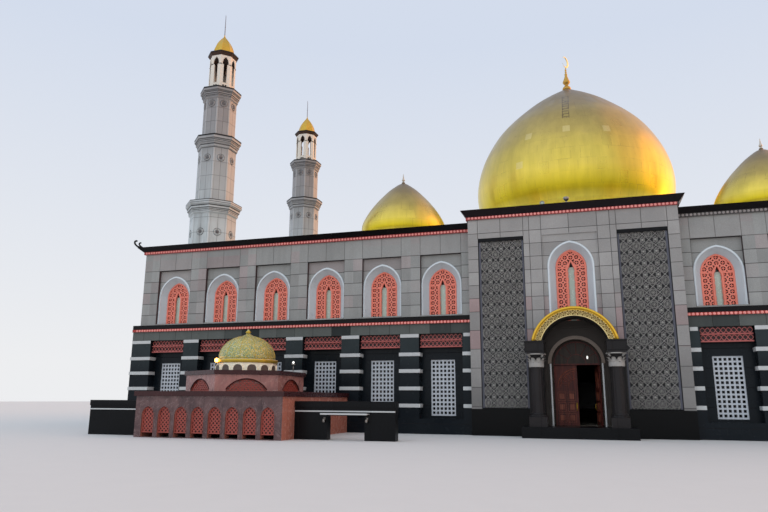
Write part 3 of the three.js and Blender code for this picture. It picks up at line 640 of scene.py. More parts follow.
goldSheet = {
    # the bright foot and the olive belt are painted reflections of the roof; the darker belts up to the top
    # are partly weathering and partly painted reflection of the sky
    "pale": linear(228, 202, 84),
    "deep": linear(192, 168, 88),
    "weathered": linear(160, 138, 90),
    "top": linear(128, 110, 86),
    "tip": linear(206, 196, 180),
    "oliveRoofReflection": linear(214, 192, 36),
    "low": linear(255, 238, 96),
    "patch": linear(226, 206, 142),
    "seam": linear(120, 96, 60),
    "roughness": (0.27, 0.36),
    "coat": 0.12,
    "coatRoughness": 0.3,
    "belts": [(0.15, 0.42, "deep"), (0.38, 0.72, "weathered"), (0.66, 0.92, "top")],
    "patchSize": (2.1, 0.36),  # half of it: in degrees and in metres
}


def goldFinish(name, centre, heights, ringPitch, columns, ladder=None, patches=()):
    # gilded sheets in rings with faint seams: the colour runs from a bright foot and a thin olive belt, both
    # painted reflections of the roof, over pale gold to a dull brown top, partly weathering and partly
    # painted reflection of the sky, and a pale finial; heights are the belt's and the tip's; the ladder is a
    # strip
    # of dark marks: its x, foot and top; the patches are newer sheets, by angle and height
    v = goldSheet
    f = Finish(name, metallic=0.92)
    f.dial("Coat Weight", v["coat"])
    f.dial("Coat Roughness", v["coatRoughness"])
    x, y, z = f.place()
    lx = (abs(x) - centre[0]) if centre[0] else x
    ly = (abs(y) - centre[1]) if centre[1] else y
    turn = f.math("ARCTAN2", ly, lx) * (columns / (2 * np.pi))
    reach = f.math("SQRT", lx * lx + ly * ly)
    ring = f.math("FLOOR", z / ringPitch)
    shifted = turn + f.chance(ring, 3.0, 1.0)
    column = f.math("FLOOR", shifted)
    toSeam = f.math("PINGPONG", shifted, 0.5) * (reach * (2 * np.pi / columns))
    upright = f.rise(toSeam, 0.022, 0.008)
    ringSeam = f.lines(z, ringPitch, 0.0, 0.02)
    seen = f.rise(f.noise(0.45, 3.0), 0.45, 0.7)
    broken = f.rise(f.noise(2.6, 2.0), 0.42, 0.56)
    seam = f.either(upright, ringSeam) * (broken * f.blend(seen, 0.08, 0.6))
    own = f.chance(ring, column, 4.0)
    wander = (f.noise(0.3, 4.0) - 0.5) * 0.22
    level = (z - heights[0]) / (heights[1] - heights[0])
    share = level + wander
    # painted reflections by height: the olive belt and the bright foot mirror the roof, the belts above
    # darken towards the top as partly weathering and partly sky reflection
    colour = f.mix(f.rise(level, 0.05, 0.17), v["oliveRoofReflection"], v["pale"])
    for low, high, sheet in v["belts"]:
        colour = f.mix(f.rise(share, low, high), colour, v[sheet])
    colour = f.mix(f.rise(level, 0.02, -0.03), colour, v["low"])
    colour = f.mix(level > 0.985, colour, v["tip"])
    colour = f.vary(colour, own, 0.95, 1.04)
    streaks = f.noise(1.5, 4.0, 0.6, (1.0, 1.0, 0.08))
    colour = f.vary(colour, f.rise(streaks, 0.3, 0.7), 0.9, 1.06)
    side = f.math("ARCTAN2", ly, lx) * (180 / np.pi)
    wide, tall = v["patchSize"]
    for angle, height in patches:
        inPatch = f.between(side, angle - wide, angle + wide) * f.between(z, height - tall, height + tall)
        colour = f.mix(inPatch * 0.42, colour, v["patch"])
    spots = f.rise(f.noise(1.8, 6.0, 0.7), 0.64, 0.7) * f.between(share, 0.3, 0.9)
    colour = f.mix(spots * 0.5, colour, v["seam"])
    if ladder:
        aside = abs(x - ladder[0])
        marks = f.either(f.lines(z, 0.42, 0.0, 0.06), f.line(aside, 0.3, 0.04),
                         f.rise(f.noise(3.5, 3.0), 0.56, 0.62))
        onLadder = f.between(z, ladder[1], ladder[2]) * (aside < 0.34)
        onLadder = onLadder * (y < 0.0)
        marks = marks * onLadder * f.rise(f.noise(1.3, 3.0), 0.3, 0.45)
        colour = f.mix(marks * 0.8, colour, linear(70, 54, 44))
    colour = f.mix(seam, colour, v["seam"])
    rough = f.blend(own, v["roughness"][0], v["roughness"][1]) + f.rise(share, 0.5, 1.0) * 0.15
    height = f.noise(0.8, 3.0) * 0.5 - seam
    return f.done(colour, rough, height, 0.02, 0.4)


def giltFinish(name, base, roughness=0.3, bareAbove=None):
    # bright gilding with faint wear in the hollows; above a given height the rod is bare grey metal
    f = Finish(name, metallic=0.85)
    x, y, z = f.place()
    colour = f.vary(base, f.noise(3.0, 4.0), 0.82, 1.12)
    colour = f.mix(f.rise(f.noise(9.0, 5.0), 0.6, 0.8) * 0.5, colour, linear(110, 82, 30))
    if bareAbove:
        colour = f.mix(z > bareAbove, colour, linear(136, 138, 146))
    return f.done(colour, f.blend(f.noise(5.0), roughness, roughness + 0.18), f.noise(14.0, 3.0), 0.004, 0.4)


def paintFinish(name, base, spread=0.12, roughness=(0.45, 0.6), grain=8.0, dirt=linear(70, 52, 46),
                dirtShare=0.3):
    # painted or rendered stone: soft clouds, a fine grain and some grime
    f = Finish(name)
    f.place()
    colour = f.vary(base, f.noise(1.1, 4.0), 1.0 - spread, 1.0 + spread)
    colour = f.mix(f.rise(f.noise(2.3, 6.0, 0.65), 0.56, 0.8) * dirtShare, colour, dirt)
    return f.done(colour, f.blend(f.noise(grain), roughness[0], roughness[1]), f.noise(grain * 4, 3.0),
                  0.003, 0.5)


def revealFinish():
    # white window surrounds with painted light and shade: the raised rim is brighter than the slanting faces
    # behind it
    f = Finish("window_reveal_paint", specular=0.3)
    f.place()
    nx, ny, nz = f.facing()
    # painted light and shade: faces that look straight out or sideways are brighter than the slanting ones
    flat = f.math("MAXIMUM", abs(nx), abs(ny)) > 0.93
    colour = f.mix(flat, linear(194, 205, 208), linear(219, 226, 228))
    colour = f.vary(colour, f.noise(1.1, 4.0), 0.94, 1.05)
    colour = f.mix(f.rise(f.noise(2.3, 6.0, 0.65), 0.56, 0.8) * 0.3, colour, linear(130, 134, 140))
    return f.done(colour, f.blend(f.noise(8.0), 0.4, 0.55), f.noise(30.0, 3.0), 0.003, 0.5)


def marbleFinish(name, base, dark, vein, rims, paintedSideLight=0.65, roughness=(0.18, 0.34)):
    # veined stone: two twisted noises give clouds and thin pale veins, with slab joints every 1.1 m; the
    # faces that look sideways are redder by paintedSideLight, a painted warm sunlight
    f = Finish(name, specular=0.3)
    x, y, z = f.place()
    nx, ny, nz = f.facing()
    sideways = abs(nx) > 0.5
    clouds = f.noise(0.9, 6.0, 0.62, twist=1.6)
    colour = f.mix(f.rise(clouds, 0.35, 0.68), dark, base)
    # painted light: faces that look sideways take a warm red as if lit by the low sun
    colour = f.mix(sideways * paintedSideLight, colour, linear(196, 122, 100))
    veins = abs(f.noise(0.55, 7.0, 0.6, twist=3.2) - 0.5)
    colour = f.mix(f.rise(veins, 0.012, 0.002) * 0.32, colour, vein)
    along = f.blend(sideways, x, y)
    joint = f.lines(along, 1.1, 0.35, 0.01)
    joint = joint * (abs(nz) < 0.6)
    colour = f.mix(joint * 0.5, colour, linear(50, 34, 32))
    rim = f.either(*[f.between(z, low, high) for low, high in rims])
    colour = f.mix(rim, colour, f.vary(linear(58, 25, 26), clouds, 0.7, 1.3))
    return f.done(colour, f.blend(f.noise(4.0), roughness[0], roughness[1]), joint * -1.0, 0.006, flat=True)


def mosaicFinish(name, base, second, tile=27.0):
    # small glazed tiles: cells of a Voronoi pattern, sage and white, some golden, set in a dark bed; more
    # tiles turn golden on the faces towards +X as painted light
    f = Finish(name, metallic=0.3)
    f.place()
    tone, other = f.numbers("ShaderNodeSeparateColor", {0: f.cells(tile)[1]})[:2]
    # painted light: the side facing +X, towards the sun, turns more golden
    lean = f.facing()[0] * 0.3
    toEdge = f.cells(tile, "DISTANCE_TO_EDGE")[0]
    bed = f.rise(toEdge, 0.09, 0.02)
    drift = (f.noise(0.8, 2.0) - 0.5) * 0.9
    golden = f.rise(tone + (drift + lean), 0.47, 0.6)
    colour = f.mix(golden, f.vary(base, other, 0.6, 1.25), f.vary(second, other, 0.75, 1.1))
    colour = f.mix((other > 0.88) * 0.7, colour, linear(228, 224, 198))
    colour = f.mix(bed * 0.6, colour, linear(84, 78, 46))
    return f.done(colour, f.blend(tone, 0.2, 0.45), bed * -1.0, 0.004)


def woodFinish(name, base, dark):
    # dark varnished boards with the grain upright
    f = Finish(name, specular=0.2)
    f.place()
    grain = f.noise(9.0, 5.0, 0.6, (1.0, 1.0, 0.07), 0.4)
    colour = f.mix(f.rise(grain, 0.35, 0.7), dark, base)
    return f.done(colour, f.blend(grain, 0.28, 0.45), grain, 0.003, 0.5)


def glassFinish(name, base, roughness=0.12, dots=None):
    # dusty sheet glass; the small panes carry a row of pale dots
    f = Finish(name, roughness=roughness)
    x, y, z = f.place()
    colour = f.vary(base, f.noise(1.5, 4.0), 0.8, 1.15)
    if dots:
        spots = f.rise(f.cells(dots)[0], 0.32, 0.24)
        colour = f.mix(spots * 0.6, colour, linear(214, 226, 214))
    return f.done(colour, f.blend(f.noise(6.0), roughness, roughness + 0.15), f.noise(5.0), 0.002, 0.3)


def glowFinish(name, colour, strength):
    f = Finish(name)
    f.place()
    f.dial("Emission Color", colour)
    f.dial("Emission Strength", strength)
    return f.done(f.vary(colour, f.noise(4.0), 0.9, 1.1))


wall = wallFinish()
portal = portalFinish()
cornice = blackFinish("cornice_stone", hall["wallTop"] - 0.1, hall["wallTop"] + 0.19, linear(20, 17, 18))
portalCornice = blackFinish("portal_cornice_stone", 12.8, 13.05, linear(30, 23, 26))
black = blackFinish("black_stone")
darkHood = blackFinish("hood_stone", tint=linear(38, 36, 36))
roof = paleFinish("roof_slabs", linear(186, 182, 174), 1.2, (0.6, 0.8))
floorTiles = paleFinish("floor_tiles", linear(196, 186, 170), 1.2, (0.15, 0.3))
minaret = minaretFinish()
mainGold = goldFinish("main_dome_gold", (0, 0), (21.3, 36.3), 1.22, 72, (-0.15, 29.2, 33.2),
                      ((-114, 27.7), (-91, 27.8), (-68, 27.6), (-118, 24.6)))
cornerGold = goldFinish("corner_dome_gold", (13.6, 19.9), (15.3, 20.2), 0.8, 30)
gilt = giltFinish("gilt_trim", linear(232, 188, 66))
paleGilt = giltFinish("pale_gilt", linear(252, 234, 170), 0.4)
capGold = giltFinish("cap_gold", linear(208, 170, 70), 0.36, bareAbove=37.2)
salmon = paintFinish("window_screen_paint", linear(240, 134, 112), dirt=linear(150, 66, 56))
bandRed = paintFinish("lattice_band_paint", linear(190, 104, 98), dirt=linear(90, 40, 38))
bandGround = paintFinish("lattice_band_ground", linear(38, 14, 15))
beadPaint = paintFinish("bead_paint", linear(250, 170, 160), dirt=linear(176, 90, 84))
paleBead = paintFinish("pale_bead_paint", linear(168, 160, 156), dirt=linear(90, 84, 82))
reveal = revealFinish()
whiteStone = paintFinish("white_stripe_stone", linear(196, 198, 196), 0.06, dirt=linear(120, 120, 118),
                         dirtShare=0.35)
gridPaint = paintFinish("window_grid_paint", linear(194, 199, 204), 0.05, dirt=linear(120, 126, 132),
                        dirtShare=0.25)
relief = paintFinish("relief_ground", linear(18, 17, 18), 0.3, dirt=linear(15, 15, 16))
reliefLine = paintFinish("relief_line", linear(180, 177, 170), 0.2, dirt=linear(64, 56, 50), dirtShare=0.85)
redMarble = marbleFinish("annex_marble", linear(112, 86, 84), linear(78, 60, 61), linear(176, 150, 144),
                         [(2.12, 2.39), (3.27, 3.52)])
hexagonMarble = marbleFinish("hexagon_marble", linear(182, 128, 120), linear(136, 96, 92),
                             linear(200, 172, 162), [(3.27, 3.52)], paintedSideLight=0.0)
maroon = blackFinish("maroon_rim_stone", tint=linear(60, 24, 25))
screenRed = paintFinish("annex_screen_paint", linear(160, 72, 60), dirt=linear(80, 34, 30), dirtShare=0.5)
cream = paintFinish("cream_plaster", linear(255, 248, 224), 0.05, dirt=linear(200, 176, 136), dirtShare=0.25)
mosaic = mosaicFinish("dome_mosaic", linear(154, 178, 132), linear(226, 202, 98))
wood = woodFinish("door_wood", linear(104, 46, 36), linear(56, 22, 20))
trimWood = woodFinish("door_trim_wood", linear(150, 84, 62), linear(90, 44, 34))
frameWood = woodFinish("door_frame_wood", linear(62, 48, 38), linear(34, 26, 22))
hoodGround = giltFinish("hood_ground_gilt", linear(112, 84, 34), 0.45)
columnStone = blackFinish("column_stone", tint=linear(44, 41, 41))
capital = paintFinish("capital_stone", linear(160, 156, 150), 0.16, dirt=linear(90, 86, 84), dirtShare=0.5)
darkGlass = glassFinish("hall_glazing", linear(26, 30, 32))
slotGlass = glassFinish("slot_glass", linear(184, 200, 184), 0.25, 9.0)
# painted shade: a near-black finish for openings and hollows that lie in shade
shadeVoid = paintFinish("shaded_recess", linear(14, 13, 14))
lampMetal = giltFinish("lamp_metal", linear(150, 146, 140), 0.3)
print("finishes made")

finishOf = {
    "floor_slab": floorTiles, "roof_slab": roof, "main_cornice": cornice, "portal_cornice": portalCornice,
    "lower_glazing": darkGlass, "upper_glazing": darkGlass, "portal_window_glass": darkGlass,
    "portal_left_pier": portal, "portal_right_pier": portal, "doorway_wall": portal,
    "portal_window_wall": portal, "left_lattice_panel": relief, "right_lattice_panel": relief,
    "left_entrance_column": columnStone, "right_entrance_column": columnStone, "entrance_hood": darkHood,
    "entrance_landing": black, "hood_arch": hoodGround, "door_frame": frameWood, "left_door_leaf": wood,
    "right_door_leaf": wood,
    "annex_block": redMarble, "annex_hexagon": hexagonMarble, "annex_drum": cream, "annex_dome": mosaic,
    "left_garden_wall": black, "right_garden_wall": black, "main_finial": gilt, "main_drum": wall,
}
for node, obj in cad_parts.items():
    finish = finishOf.get(node)
    if finish is None:
        finish = (capGold if node.endswith("_cap") else minaret if node.endswith("_minaret")
                  else cornerGold if node.endswith("_dome") else wall)
    obj.data.materials.clear()
    obj.data.materials.append(finish)
print("frame dressed")

# The four fronts of the hall: a shape is made looking along -Y and turned to its own front


bayXs = hall["firstBay"] + hall["bay"] * np.arange(6)
rearXs = np.concatenate([[0.0, bayXs[0] - hall["bay"]], bayXs])
sideYs = hall["bay"] * np.arange(-7, 8)
sideYs = sideYs[np.min(np.abs(sideYs[:, None] - towers["ys"]), axis=1) > towers["collars"][0][0]]


def bothSides(values):
    values = np.asarray(values)
    return np.unique(np.round(np.concatenate([-values, values]), 4))


fronts = {
    "front": {"angle": 0.0, "face": hall["front"], "bays": bothSides(bayXs)},
    "rear": {"angle": np.pi, "face": hall["front"], "bays": bothSides(rearXs)},
    "left": {"angle": -np.pi / 2, "face": hall["side"], "bays": -sideYs, "towers": -towers["ys"][::-1]},
    "right": {"angle": np.pi / 2, "face": hall["side"], "bays": sideYs, "towers": towers["ys"]},
}


def archLine(arch, inset, steps=12):
    # a pointed arch from its left foot over the apex to its right foot: uprights to the spring, then two
    # arcs whose centres lie on the spring line; an inset moves the whole line inwards
    half, rise = arch["half"], arch["rise"]
    arc = (rise ** 2 + half ** 2) / (2 * half)
    centre, radius = half - arc, arc - inset
    a = np.linspace(0, np.arccos(-centre / radius), steps)
    x = np.concatenate([[half - inset], centre + radius * np.cos(a)])
    z = np.concatenate([[arch["sill"]], arch["apex"] - rise + radius * np.sin(a)])
    return np.column_stack([np.concatenate([-x, x[-2::-1]]), np.concatenate([z, z[-2::-1]])])


def keelLine(slot, inset, steps=0):
    # a slot whose head draws in at two shoulders and ends in a small point; an inset moves it inwards
    half, top = slot["half"] - inset, slot["apex"] - 1.5 * inset
    x = half * np.array([1.0, 1.0, 0.85, 0.5, 0.42, 0.0])
    z = np.concatenate([[slot["sill"]], top - np.array([0.48, 0.4, 0.27, 0.19, 0.0])])
    return np.column_stack([np.concatenate([-x, x[-2::-1]]), np.concatenate([z, z[-2::-1]])])


def archFrame(arch, profile, face, steps=12, shapeLine=archLine):
    # a closed profile of [inset, depth] points carried along the arch
    lines = [shapeLine(arch, inset, steps) for inset, depth in profile]
    rows = [spots(line[:, 0], depth - face, line[:, 1])
            for line, (inset, depth) in zip(lines, profile)]
    points = np.stack(rows, axis=1)
    rowCount, columns = points.shape[:2]
    ends = np.stack([np.arange(columns)[::-1], (rowCount - 1) * columns + np.arange(columns)])
    return points.reshape(-1, 3), [gridFaces(rowCount, columns, False, True), ends]


def moulding(width, crest, proud, peak, back):
    # a section for a raised border outside an arch: flat sides, and a crest that stands out to peak
    return [[-width, back], [-width, -proud], [-crest, -peak], [0.0, -proud], [0.0, back]]


def latticeCell(pitch, front, back, star=True):
    # one square of a pierced screen: an eight-sided hole, with a four-pointed star in it if asked, and cut
    # corners that meet their neighbours in diamond holes
    h, cut, hole = pitch / 2, pitch * (0.17 if star else 0.26), pitch * (0.38 if star else 0.26)
    corner = np.array([[h, -(h - cut)], [h, h - cut], [h - cut, h], [-(h - cut), h]])
    outer = np.concatenate([corner, -corner])
    a = np.pi / 4 * np.arange(8)
    inner = hole * np.column_stack([np.cos(a - np.pi / 8), np.sin(a - np.pi / 8)])
    rings = [(outer, front), (inner, front), (inner, back), (outer, back)]
    points = np.stack([spots(ring[:, 0], y, ring[:, 1]) for ring, y in rings])
    frameShape = (points.reshape(-1, 3), [gridFaces(4, 8, True, True)])
    if not star:
        return frameShape
    reach = np.where(np.arange(8) % 2 == 0, hole * 0.98, hole * 0.36)
    spokes = spots(reach * np.cos(a), 0.0, reach * np.sin(a))
    k = np.arange(8)
    rim = front + (back - front) * 0.3
    starPoints = np.vstack([spokes + [0, rim, 0], spokes + [0, back, 0], [[0, front - 0.01, 0]]])
    starFaces = [np.column_stack([np.full(8, 16), k, (k + 1) % 8]),
                 np.column_stack([k, k + 8, (k + 1) % 8 + 8, (k + 1) % 8]), (k + 8)[None]]
    return joined([frameShape, (starPoints, starFaces)])


def insideArch(arch, inset, x, z):  # true at the points that the arch surrounds
    half, rise = arch["half"], arch["rise"]
    arc = (rise ** 2 + half ** 2) / (2 * half)
    spring = arch["apex"] - rise
    inArc = np.hypot(np.abs(x) - (half - arc), z - spring) < arc - inset
    return np.where(z < spring, np.abs(x) < half - inset, inArc) & (z > arch["sill"])


def screenOf(cell, pitch, columns, rows, bottom, inside):
    # a grid of cells over x = 0, from the bottom up, where inside(x, z) holds
    x = (np.arange(columns) - (columns - 1) / 2) * pitch
    z = bottom + (np.arange(rows) + 0.5) * pitch
    x, z = [a.ravel() for a in np.meshgrid(x, z)]
    keep = inside(x, z)
    return repeated(cell, spots(x[keep], 0.0, z[keep]))


def windowParts(arch, face, size):
    # a window as three shapes: the pale surround, the pierced screen and the pane in its slot
    depth, splay, pitch = size["depth"], size["splay"], size["pitch"]
    rim = [[-0.04, 0.02], [-0.04, -0.03], [-0.015, -0.05], [0.06, -0.05], [0.09, -0.03], [0.1, 0.03],
           [splay, depth], [splay, depth + 0.05], [0.015, depth + 0.05], [0.015, 0.02]]
    surround = archFrame(arch, rim, face)
    frameIn = splay + size["border"]
    outline = archFrame(arch, [[splay - 0.02, depth - 0.01], [splay + 0.015, depth - 0.05],
                               [frameIn - 0.02, depth - 0.05], [frameIn, depth - 0.01],
                               [frameIn, depth + 0.06], [splay - 0.02, depth + 0.06]], face)
    slot = {"half": size["slotHalf"], "sill": arch["sill"], "apex": size["slotTop"]}
    slotFrame = archFrame(slot, [[-0.115, depth + 0.06], [-0.115, depth - 0.02], [-0.09, depth - 0.05],
                                 [-0.02, depth - 0.05], [0.0, depth - 0.02], [0.0, depth + 0.09]],
                          face, shapeLine=keelLine)
    across = arch["half"] - splay
    level = size["slotTop"] - 0.4
    y = depth - face
    bars = boxes([[-across, y - 0.04, level], [slot["half"] + 0.04, y - 0.04, level]],
                 [[-slot["half"] - 0.04, y + 0.05, level + 0.07], [across, y + 0.05, level + 0.07]])

    def inScreen(x, z):
        inSlot = (np.abs(x) < pitch / 2) & (z < slot["apex"] + pitch / 2)
        return insideArch(arch, splay - 0.05, x, z) & ~inSlot

    cells = screenOf(latticeCell(pitch, y, y + 0.05), pitch, 9, 24, arch["sill"], inScreen)
    paneTop = slot["apex"] - 0.3
    pane = boxes([[-slot["half"] - 0.05, y + 0.13, arch["sill"]]],
                 [[slot["half"] + 0.05, y + 0.15, paneTop]])
    return surround, joined([outline, slotFrame, bars, cells]), pane


upperWindow = {
    "arch": {"half": 1.27, "sill": 7.18, "rise": 1.48, "apex": 10.58},
    "size": {"depth": 0.4, "splay": 0.4, "border": 0.1, "slotHalf": 0.19, "slotTop": 9.46, "pitch": 0.33},
}
lowerGrid = {"half": 0.76, "sill": 1.06, "head": 4.42, "columns": 6, "rows": 13,
             "bar": (0.088, 0.1), "depth": 0.06}


def lowerWindow(face):
    # a plate of upright and level bars with square holes, in a plain frame
    v = lowerGrid
    y0 = -(face - hall["setback"]) + v["depth"]
    y1 = y0 + 0.07
    width, tall = 2 * v["half"], v["head"] - v["sill"]
    wide, deep = v["bar"]
    pitchX, pitchZ = (width - wide) / v["columns"], (tall - deep) / v["rows"]
    x = -v["half"] + pitchX * np.arange(v["columns"] + 1)
    z = v["sill"] + pitchZ * np.arange(v["rows"] + 1)
    low = np.concatenate([spots(x, y0, v["sill"]), spots(-v["half"], y0 + 0.004, z)])
    high = np.concatenate([spots(x + wide, y1, v["head"]), spots(v["half"], y1 - 0.004, z + deep)])
    return boxes(low, high)


latticeBand = {
    "half": 1.30, "bottom": 5.15, "top": 5.95, "rows": 2, "motifs": 10, "reach": 0.14, "ledge": 0.07,
}


def bandParts(face):
    # under the fascia of each bay: two rows of crossed waves between ledges, before a dark ground
    v = latticeBand
    pitch = (v["top"] - v["bottom"]) / v["rows"]
    front = -(face + v["reach"])
    t = np.linspace(0, 2 * np.pi * v["motifs"] / 2, v["motifs"] * 6 + 1)
    rods, ledges = [], []
    for row in range(v["rows"]):
        base = v["bottom"] + row * pitch
        middle = base + v["ledge"] + (pitch - v["ledge"]) / 2
        swing = (pitch - v["ledge"]) * 0.42
        for phase in (0.0, np.pi):
            path = spots(np.linspace(-v["half"], v["half"], len(t)), front + 0.05 + 0.01 * np.cos(t + phase),
                         middle + swing * np.sin(t + phase))
            rods.append(carried([[-0.025, -0.03], [0.025, -0.03], [0.025, 0.03], [-0.025, 0.03]], path,
                                np.array([[0, 0, 1.0]]), np.array([[0, 1.0, 0]])))
        ledge = [[front - 0.05, base], [front - 0.06, base + v["ledge"] * 0.4],
                 [front - 0.02, base + v["ledge"]], [front + 0.1, base + v["ledge"]], [front + 0.1, base]]
        run = np.array([[-v["half"], 0, 0], [v["half"], 0, 0]])
        ledges.append(carried(ledge, run, np.array([[0, 1.0, 0]]), np.array([[0, 0, 1.0]])))
    ground = boxes([[-v["half"], front + 0.09, v["bottom"]]],
                   [[v["half"], -(face - hall["setback"]) + 0.01, v["top"] + 0.03]])
    return joined(rods + ledges), ground


stripes = {
    "levels": [4.73, 3.72, 2.67, 1.65], "top": 5.87, "thickness": 0.22, "half": 0.6, "lap": 0.07,
    "proud": 0.05,
    "cornerPilaster": (28.75, 30.3), "portalPilaster": 6.55, "towerClear": 2.7,
}


def stripeShape(face, half, centre=0.0):
    # white courses round a pilaster: four that stand out and wrap its sides, and a flush one on top
    v = stripes
    z = np.array(v["levels"])
    front = -(face + hall["pilaster"])
    low = spots(centre - half - v["lap"], front - v["proud"], z - v["thickness"] / 2)
    high = spots(centre + half + v["lap"], -(face - hall["setback"]) + 0.01, z + v["thickness"] / 2)
    low = np.vstack([low, [centre - half, front - 0.02, v["top"] - v["thickness"] / 2]])
    high = np.vstack([high, [centre + half, front + 0.3, v["top"] + v["thickness"] / 2 - 0.005]])
    return boxes(low, high)


beads = {"radius": 0.083, "pitch": 0.21, "high": 12.4, "low": 6.67}


def beadShape():
    # a small rosette that looks along -Y: a flat ring and a domed middle
    r = beads["radius"]
    profile = np.array([[0.0, 0.035], [0.45, 0.03], [0.62, 0.012], [0.8, 0.03], [1.0, 0.0]]) * [r, 1.0]
    return facingFront(turned(profile, 8))


def beadRow(start, end, y, z):  # as many beads as fit at about their pitch
    count = max(int((end - start) / beads["pitch"]), 1)
    x = start + (np.arange(count) + 0.5) * (end - start) / count
    return repeated(beadShape(), spots(x, y, z))


for name, front in fronts.items():
    face, angle, bays = front["face"], front["angle"], front["bays"]
    surround, screen, pane = windowParts(upperWindow["arch"], face - hall["recess"], upperWindow["size"])
    places = moved((spots(bays), []), angle=angle)[0]
    makePiece(f"{name}_window_surrounds", [repeated(surround, places, angle)], reveal)
    makePiece(f"{name}_window_screens", [repeated(screen, places, angle)], salmon)
    makePiece(f"{name}_slot_panes", [repeated(pane, places, angle)], slotGlass)
    makePiece(f"{name}_window_grids", [repeated(lowerWindow(face), places, angle)], gridPaint)
    lattice, ground = bandParts(face)
    makePiece(f"{name}_lattice_bands", [repeated(lattice, places, angle)], bandRed)
    makePiece(f"{name}_lattice_grounds", [repeated(ground, places, angle)], bandGround)
print("windows and bands in place")

for name, front in fronts.items():
    face, angle = front["face"], front["angle"]
    half = stripes["half"]
    if name in ("front", "rear"):
        middles = np.abs(bayXs[:-1] + hall["bay"] / 2)
        inner, outer = stripes["cornerPilaster"]
        edge = [(inner + outer) / 2, (outer - inner) / 2 - 0.02]
        shapes = [stripeShape(face, half, x) for x in bothSides(middles)]
        if name == "front":
            inner, outer = hall["portalHalf"], stripes["portalPilaster"]
            narrow = [(inner + outer) / 2, (outer - inner) / 2 - 0.07]
            shapes += [stripeShape(face, narrow[1], side * narrow[0]) for side in (-1, 1)]
        else:
            shapes += [stripeShape(face, half, x) for x in bothSides([hall["bay"] / 2, hall["bay"] * 1.5])]
        shapes += [stripeShape(face, edge[1], side * edge[0]) for side in (-1, 1)]
    else:
        middles = (np.arange(-7, 7) + 0.5) * hall["bay"]
        clear = np.min(np.abs(middles[:, None] - front["towers"]), axis=1) > stripes["towerClear"]
        shapes = [stripeShape(face, half, y) for y in middles[clear]]
    makePiece(f"{name}_white_courses", [moved(joined(shapes), angle=angle)], whiteStone,
              bevel=0.012)

    upperY, lowerY = -(face + 0.12), -(face + hall["pilaster"] + 0.1)
    if name == "front":
        spans = [[-hall["side"], -hall["portalHalf"]], [hall["portalHalf"], hall["side"]]]
    elif name == "rear":
        spans = [[-hall["side"], hall["side"]]]
    else:
        ends = np.repeat(front["towers"], 2) + np.tile([-towers["clear"], towers["clear"]], 2)
        ends = np.concatenate([[-hall["front"]], ends, [hall["front"]]])
        spans = ends.reshape(-1, 2)
    rows = [beadRow(a, b, upperY, beads["high"]) for a, b in spans]
    if name == "front":
        makePiece("right_wing_upper_beads", [moved(rows[1], angle=angle)], paleBead)
        rows = rows[:1]
    makePiece(f"{name}_upper_beads", [moved(joined(rows), angle=angle)], beadPaint)
    rows = [beadRow(a, b, lowerY, beads["low"]) for a, b in spans]
    makePiece(f"{name}_lower_beads", [moved(joined(rows), angle=angle)], beadPaint)

# At each corner of the cornice an upswept horn with a small leaf; the rear ones point along the wall
curl = {
    "path": [[-0.3, 0.02], [-0.05, 0.05], [0.14, 0.12], [0.28, 0.26], [0.31, 0.42], [0.22, 0.5],
             [0.14, 0.46]],
    "leaf": [[-0.25, 0.04], [-0.08, 0.16], [0.0, 0.28], [-0.06, 0.38], [-0.14, 0.36]],
    "radius": 0.065, "inset": 0.09,
}
corniceTop, corniceSide, corniceFront = (faceOf("main_cornice", side) for side in ("top", "right", "front"))
curls = []
for sx, sy in ((1, 1), (-1, 1), (-1, -1), (1, -1)):
    out = np.array([sx, 0, 0]) if sy > 0 else np.array([sx, sy, 0]) / np.sqrt(2)
    place = np.array([sx * (corniceSide - curl["inset"]), sy * (corniceFront - curl["inset"]), corniceTop])
    for key, radius in (("path", curl["radius"]), ("leaf", curl["radius"] * 0.85)):
        line = smoothLine(curl[key], 4)
        curls.append(tube(place + line[:, :1] * out + line[:, 1:] * [0, 0, 1], radius, 6,
                          flat=np.array([-out[1], out[0], 0])))
makePiece("cornice_curls", curls, black, smooth=True)
print("courses and beads in place")

# The portal: its window, the carved lattices, the hood and the doors

portalWindow = {
    "face": 32.14,
    "arch": {"half": 1.285, "sill": 6.5, "rise": 1.48, "apex": 11.17},
    "size": {"depth": 0.46, "splay": 0.41, "border": 0.11, "slotHalf": 0.19, "slotTop": 10.02,
             "pitch": 0.33},
}
surround, screen, pane = windowParts(portalWindow["arch"], portalWindow["face"], portalWindow["size"])
makePiece("portal_window_surround", [surround], reveal)
makePiece("portal_window_screen", [screen], salmon)
makePiece("portal_slot_pane", [pane], slotGlass)

carving = {"inner": 2.646, "outer": 5.395, "bottom": 1.5, "top": 11.675, "ground": 32.045, "rise": 0.05,
           "columns": 4, "rows": 15, "line": 0.016}


def ridge(path, width, rise, ring=False):
    # a raised line with a roof-shaped section, seen from -Y; the path lies in an XZ plane
    path = np.asarray(path, float)
    along = np.roll(path, -1, 0) - np.roll(path, 1, 0) if ring else np.gradient(path, axis=0)
    along /= np.linalg.norm(along, axis=1)[:, None]
    across = np.cross(along, (0, 1, 0))
    return carried([[-width, 0], [-width * 0.4, -rise], [width * 0.4, -rise], [width, 0]], path, across,
                   np.array([[0, 1.0, 0]]), ring)


def spoke(angle, y, foot, top, centre, width, rise):
    # a ridge that points away from a centre, from radius foot to radius top
    c, s = np.cos(angle), np.sin(angle)
    x, z = centre
    return ridge([[x + foot * c, y, z + foot * s], [x + top * c, y, z + top * s]], width, rise)


def ringPath(radius, steps, y=0.0, x=0.0, z=0.0):  # a circle in an upright plane
    a = 2 * np.pi * np.arange(steps) / steps
    return spots(x + radius * np.cos(a), y, z + radius * np.sin(a))


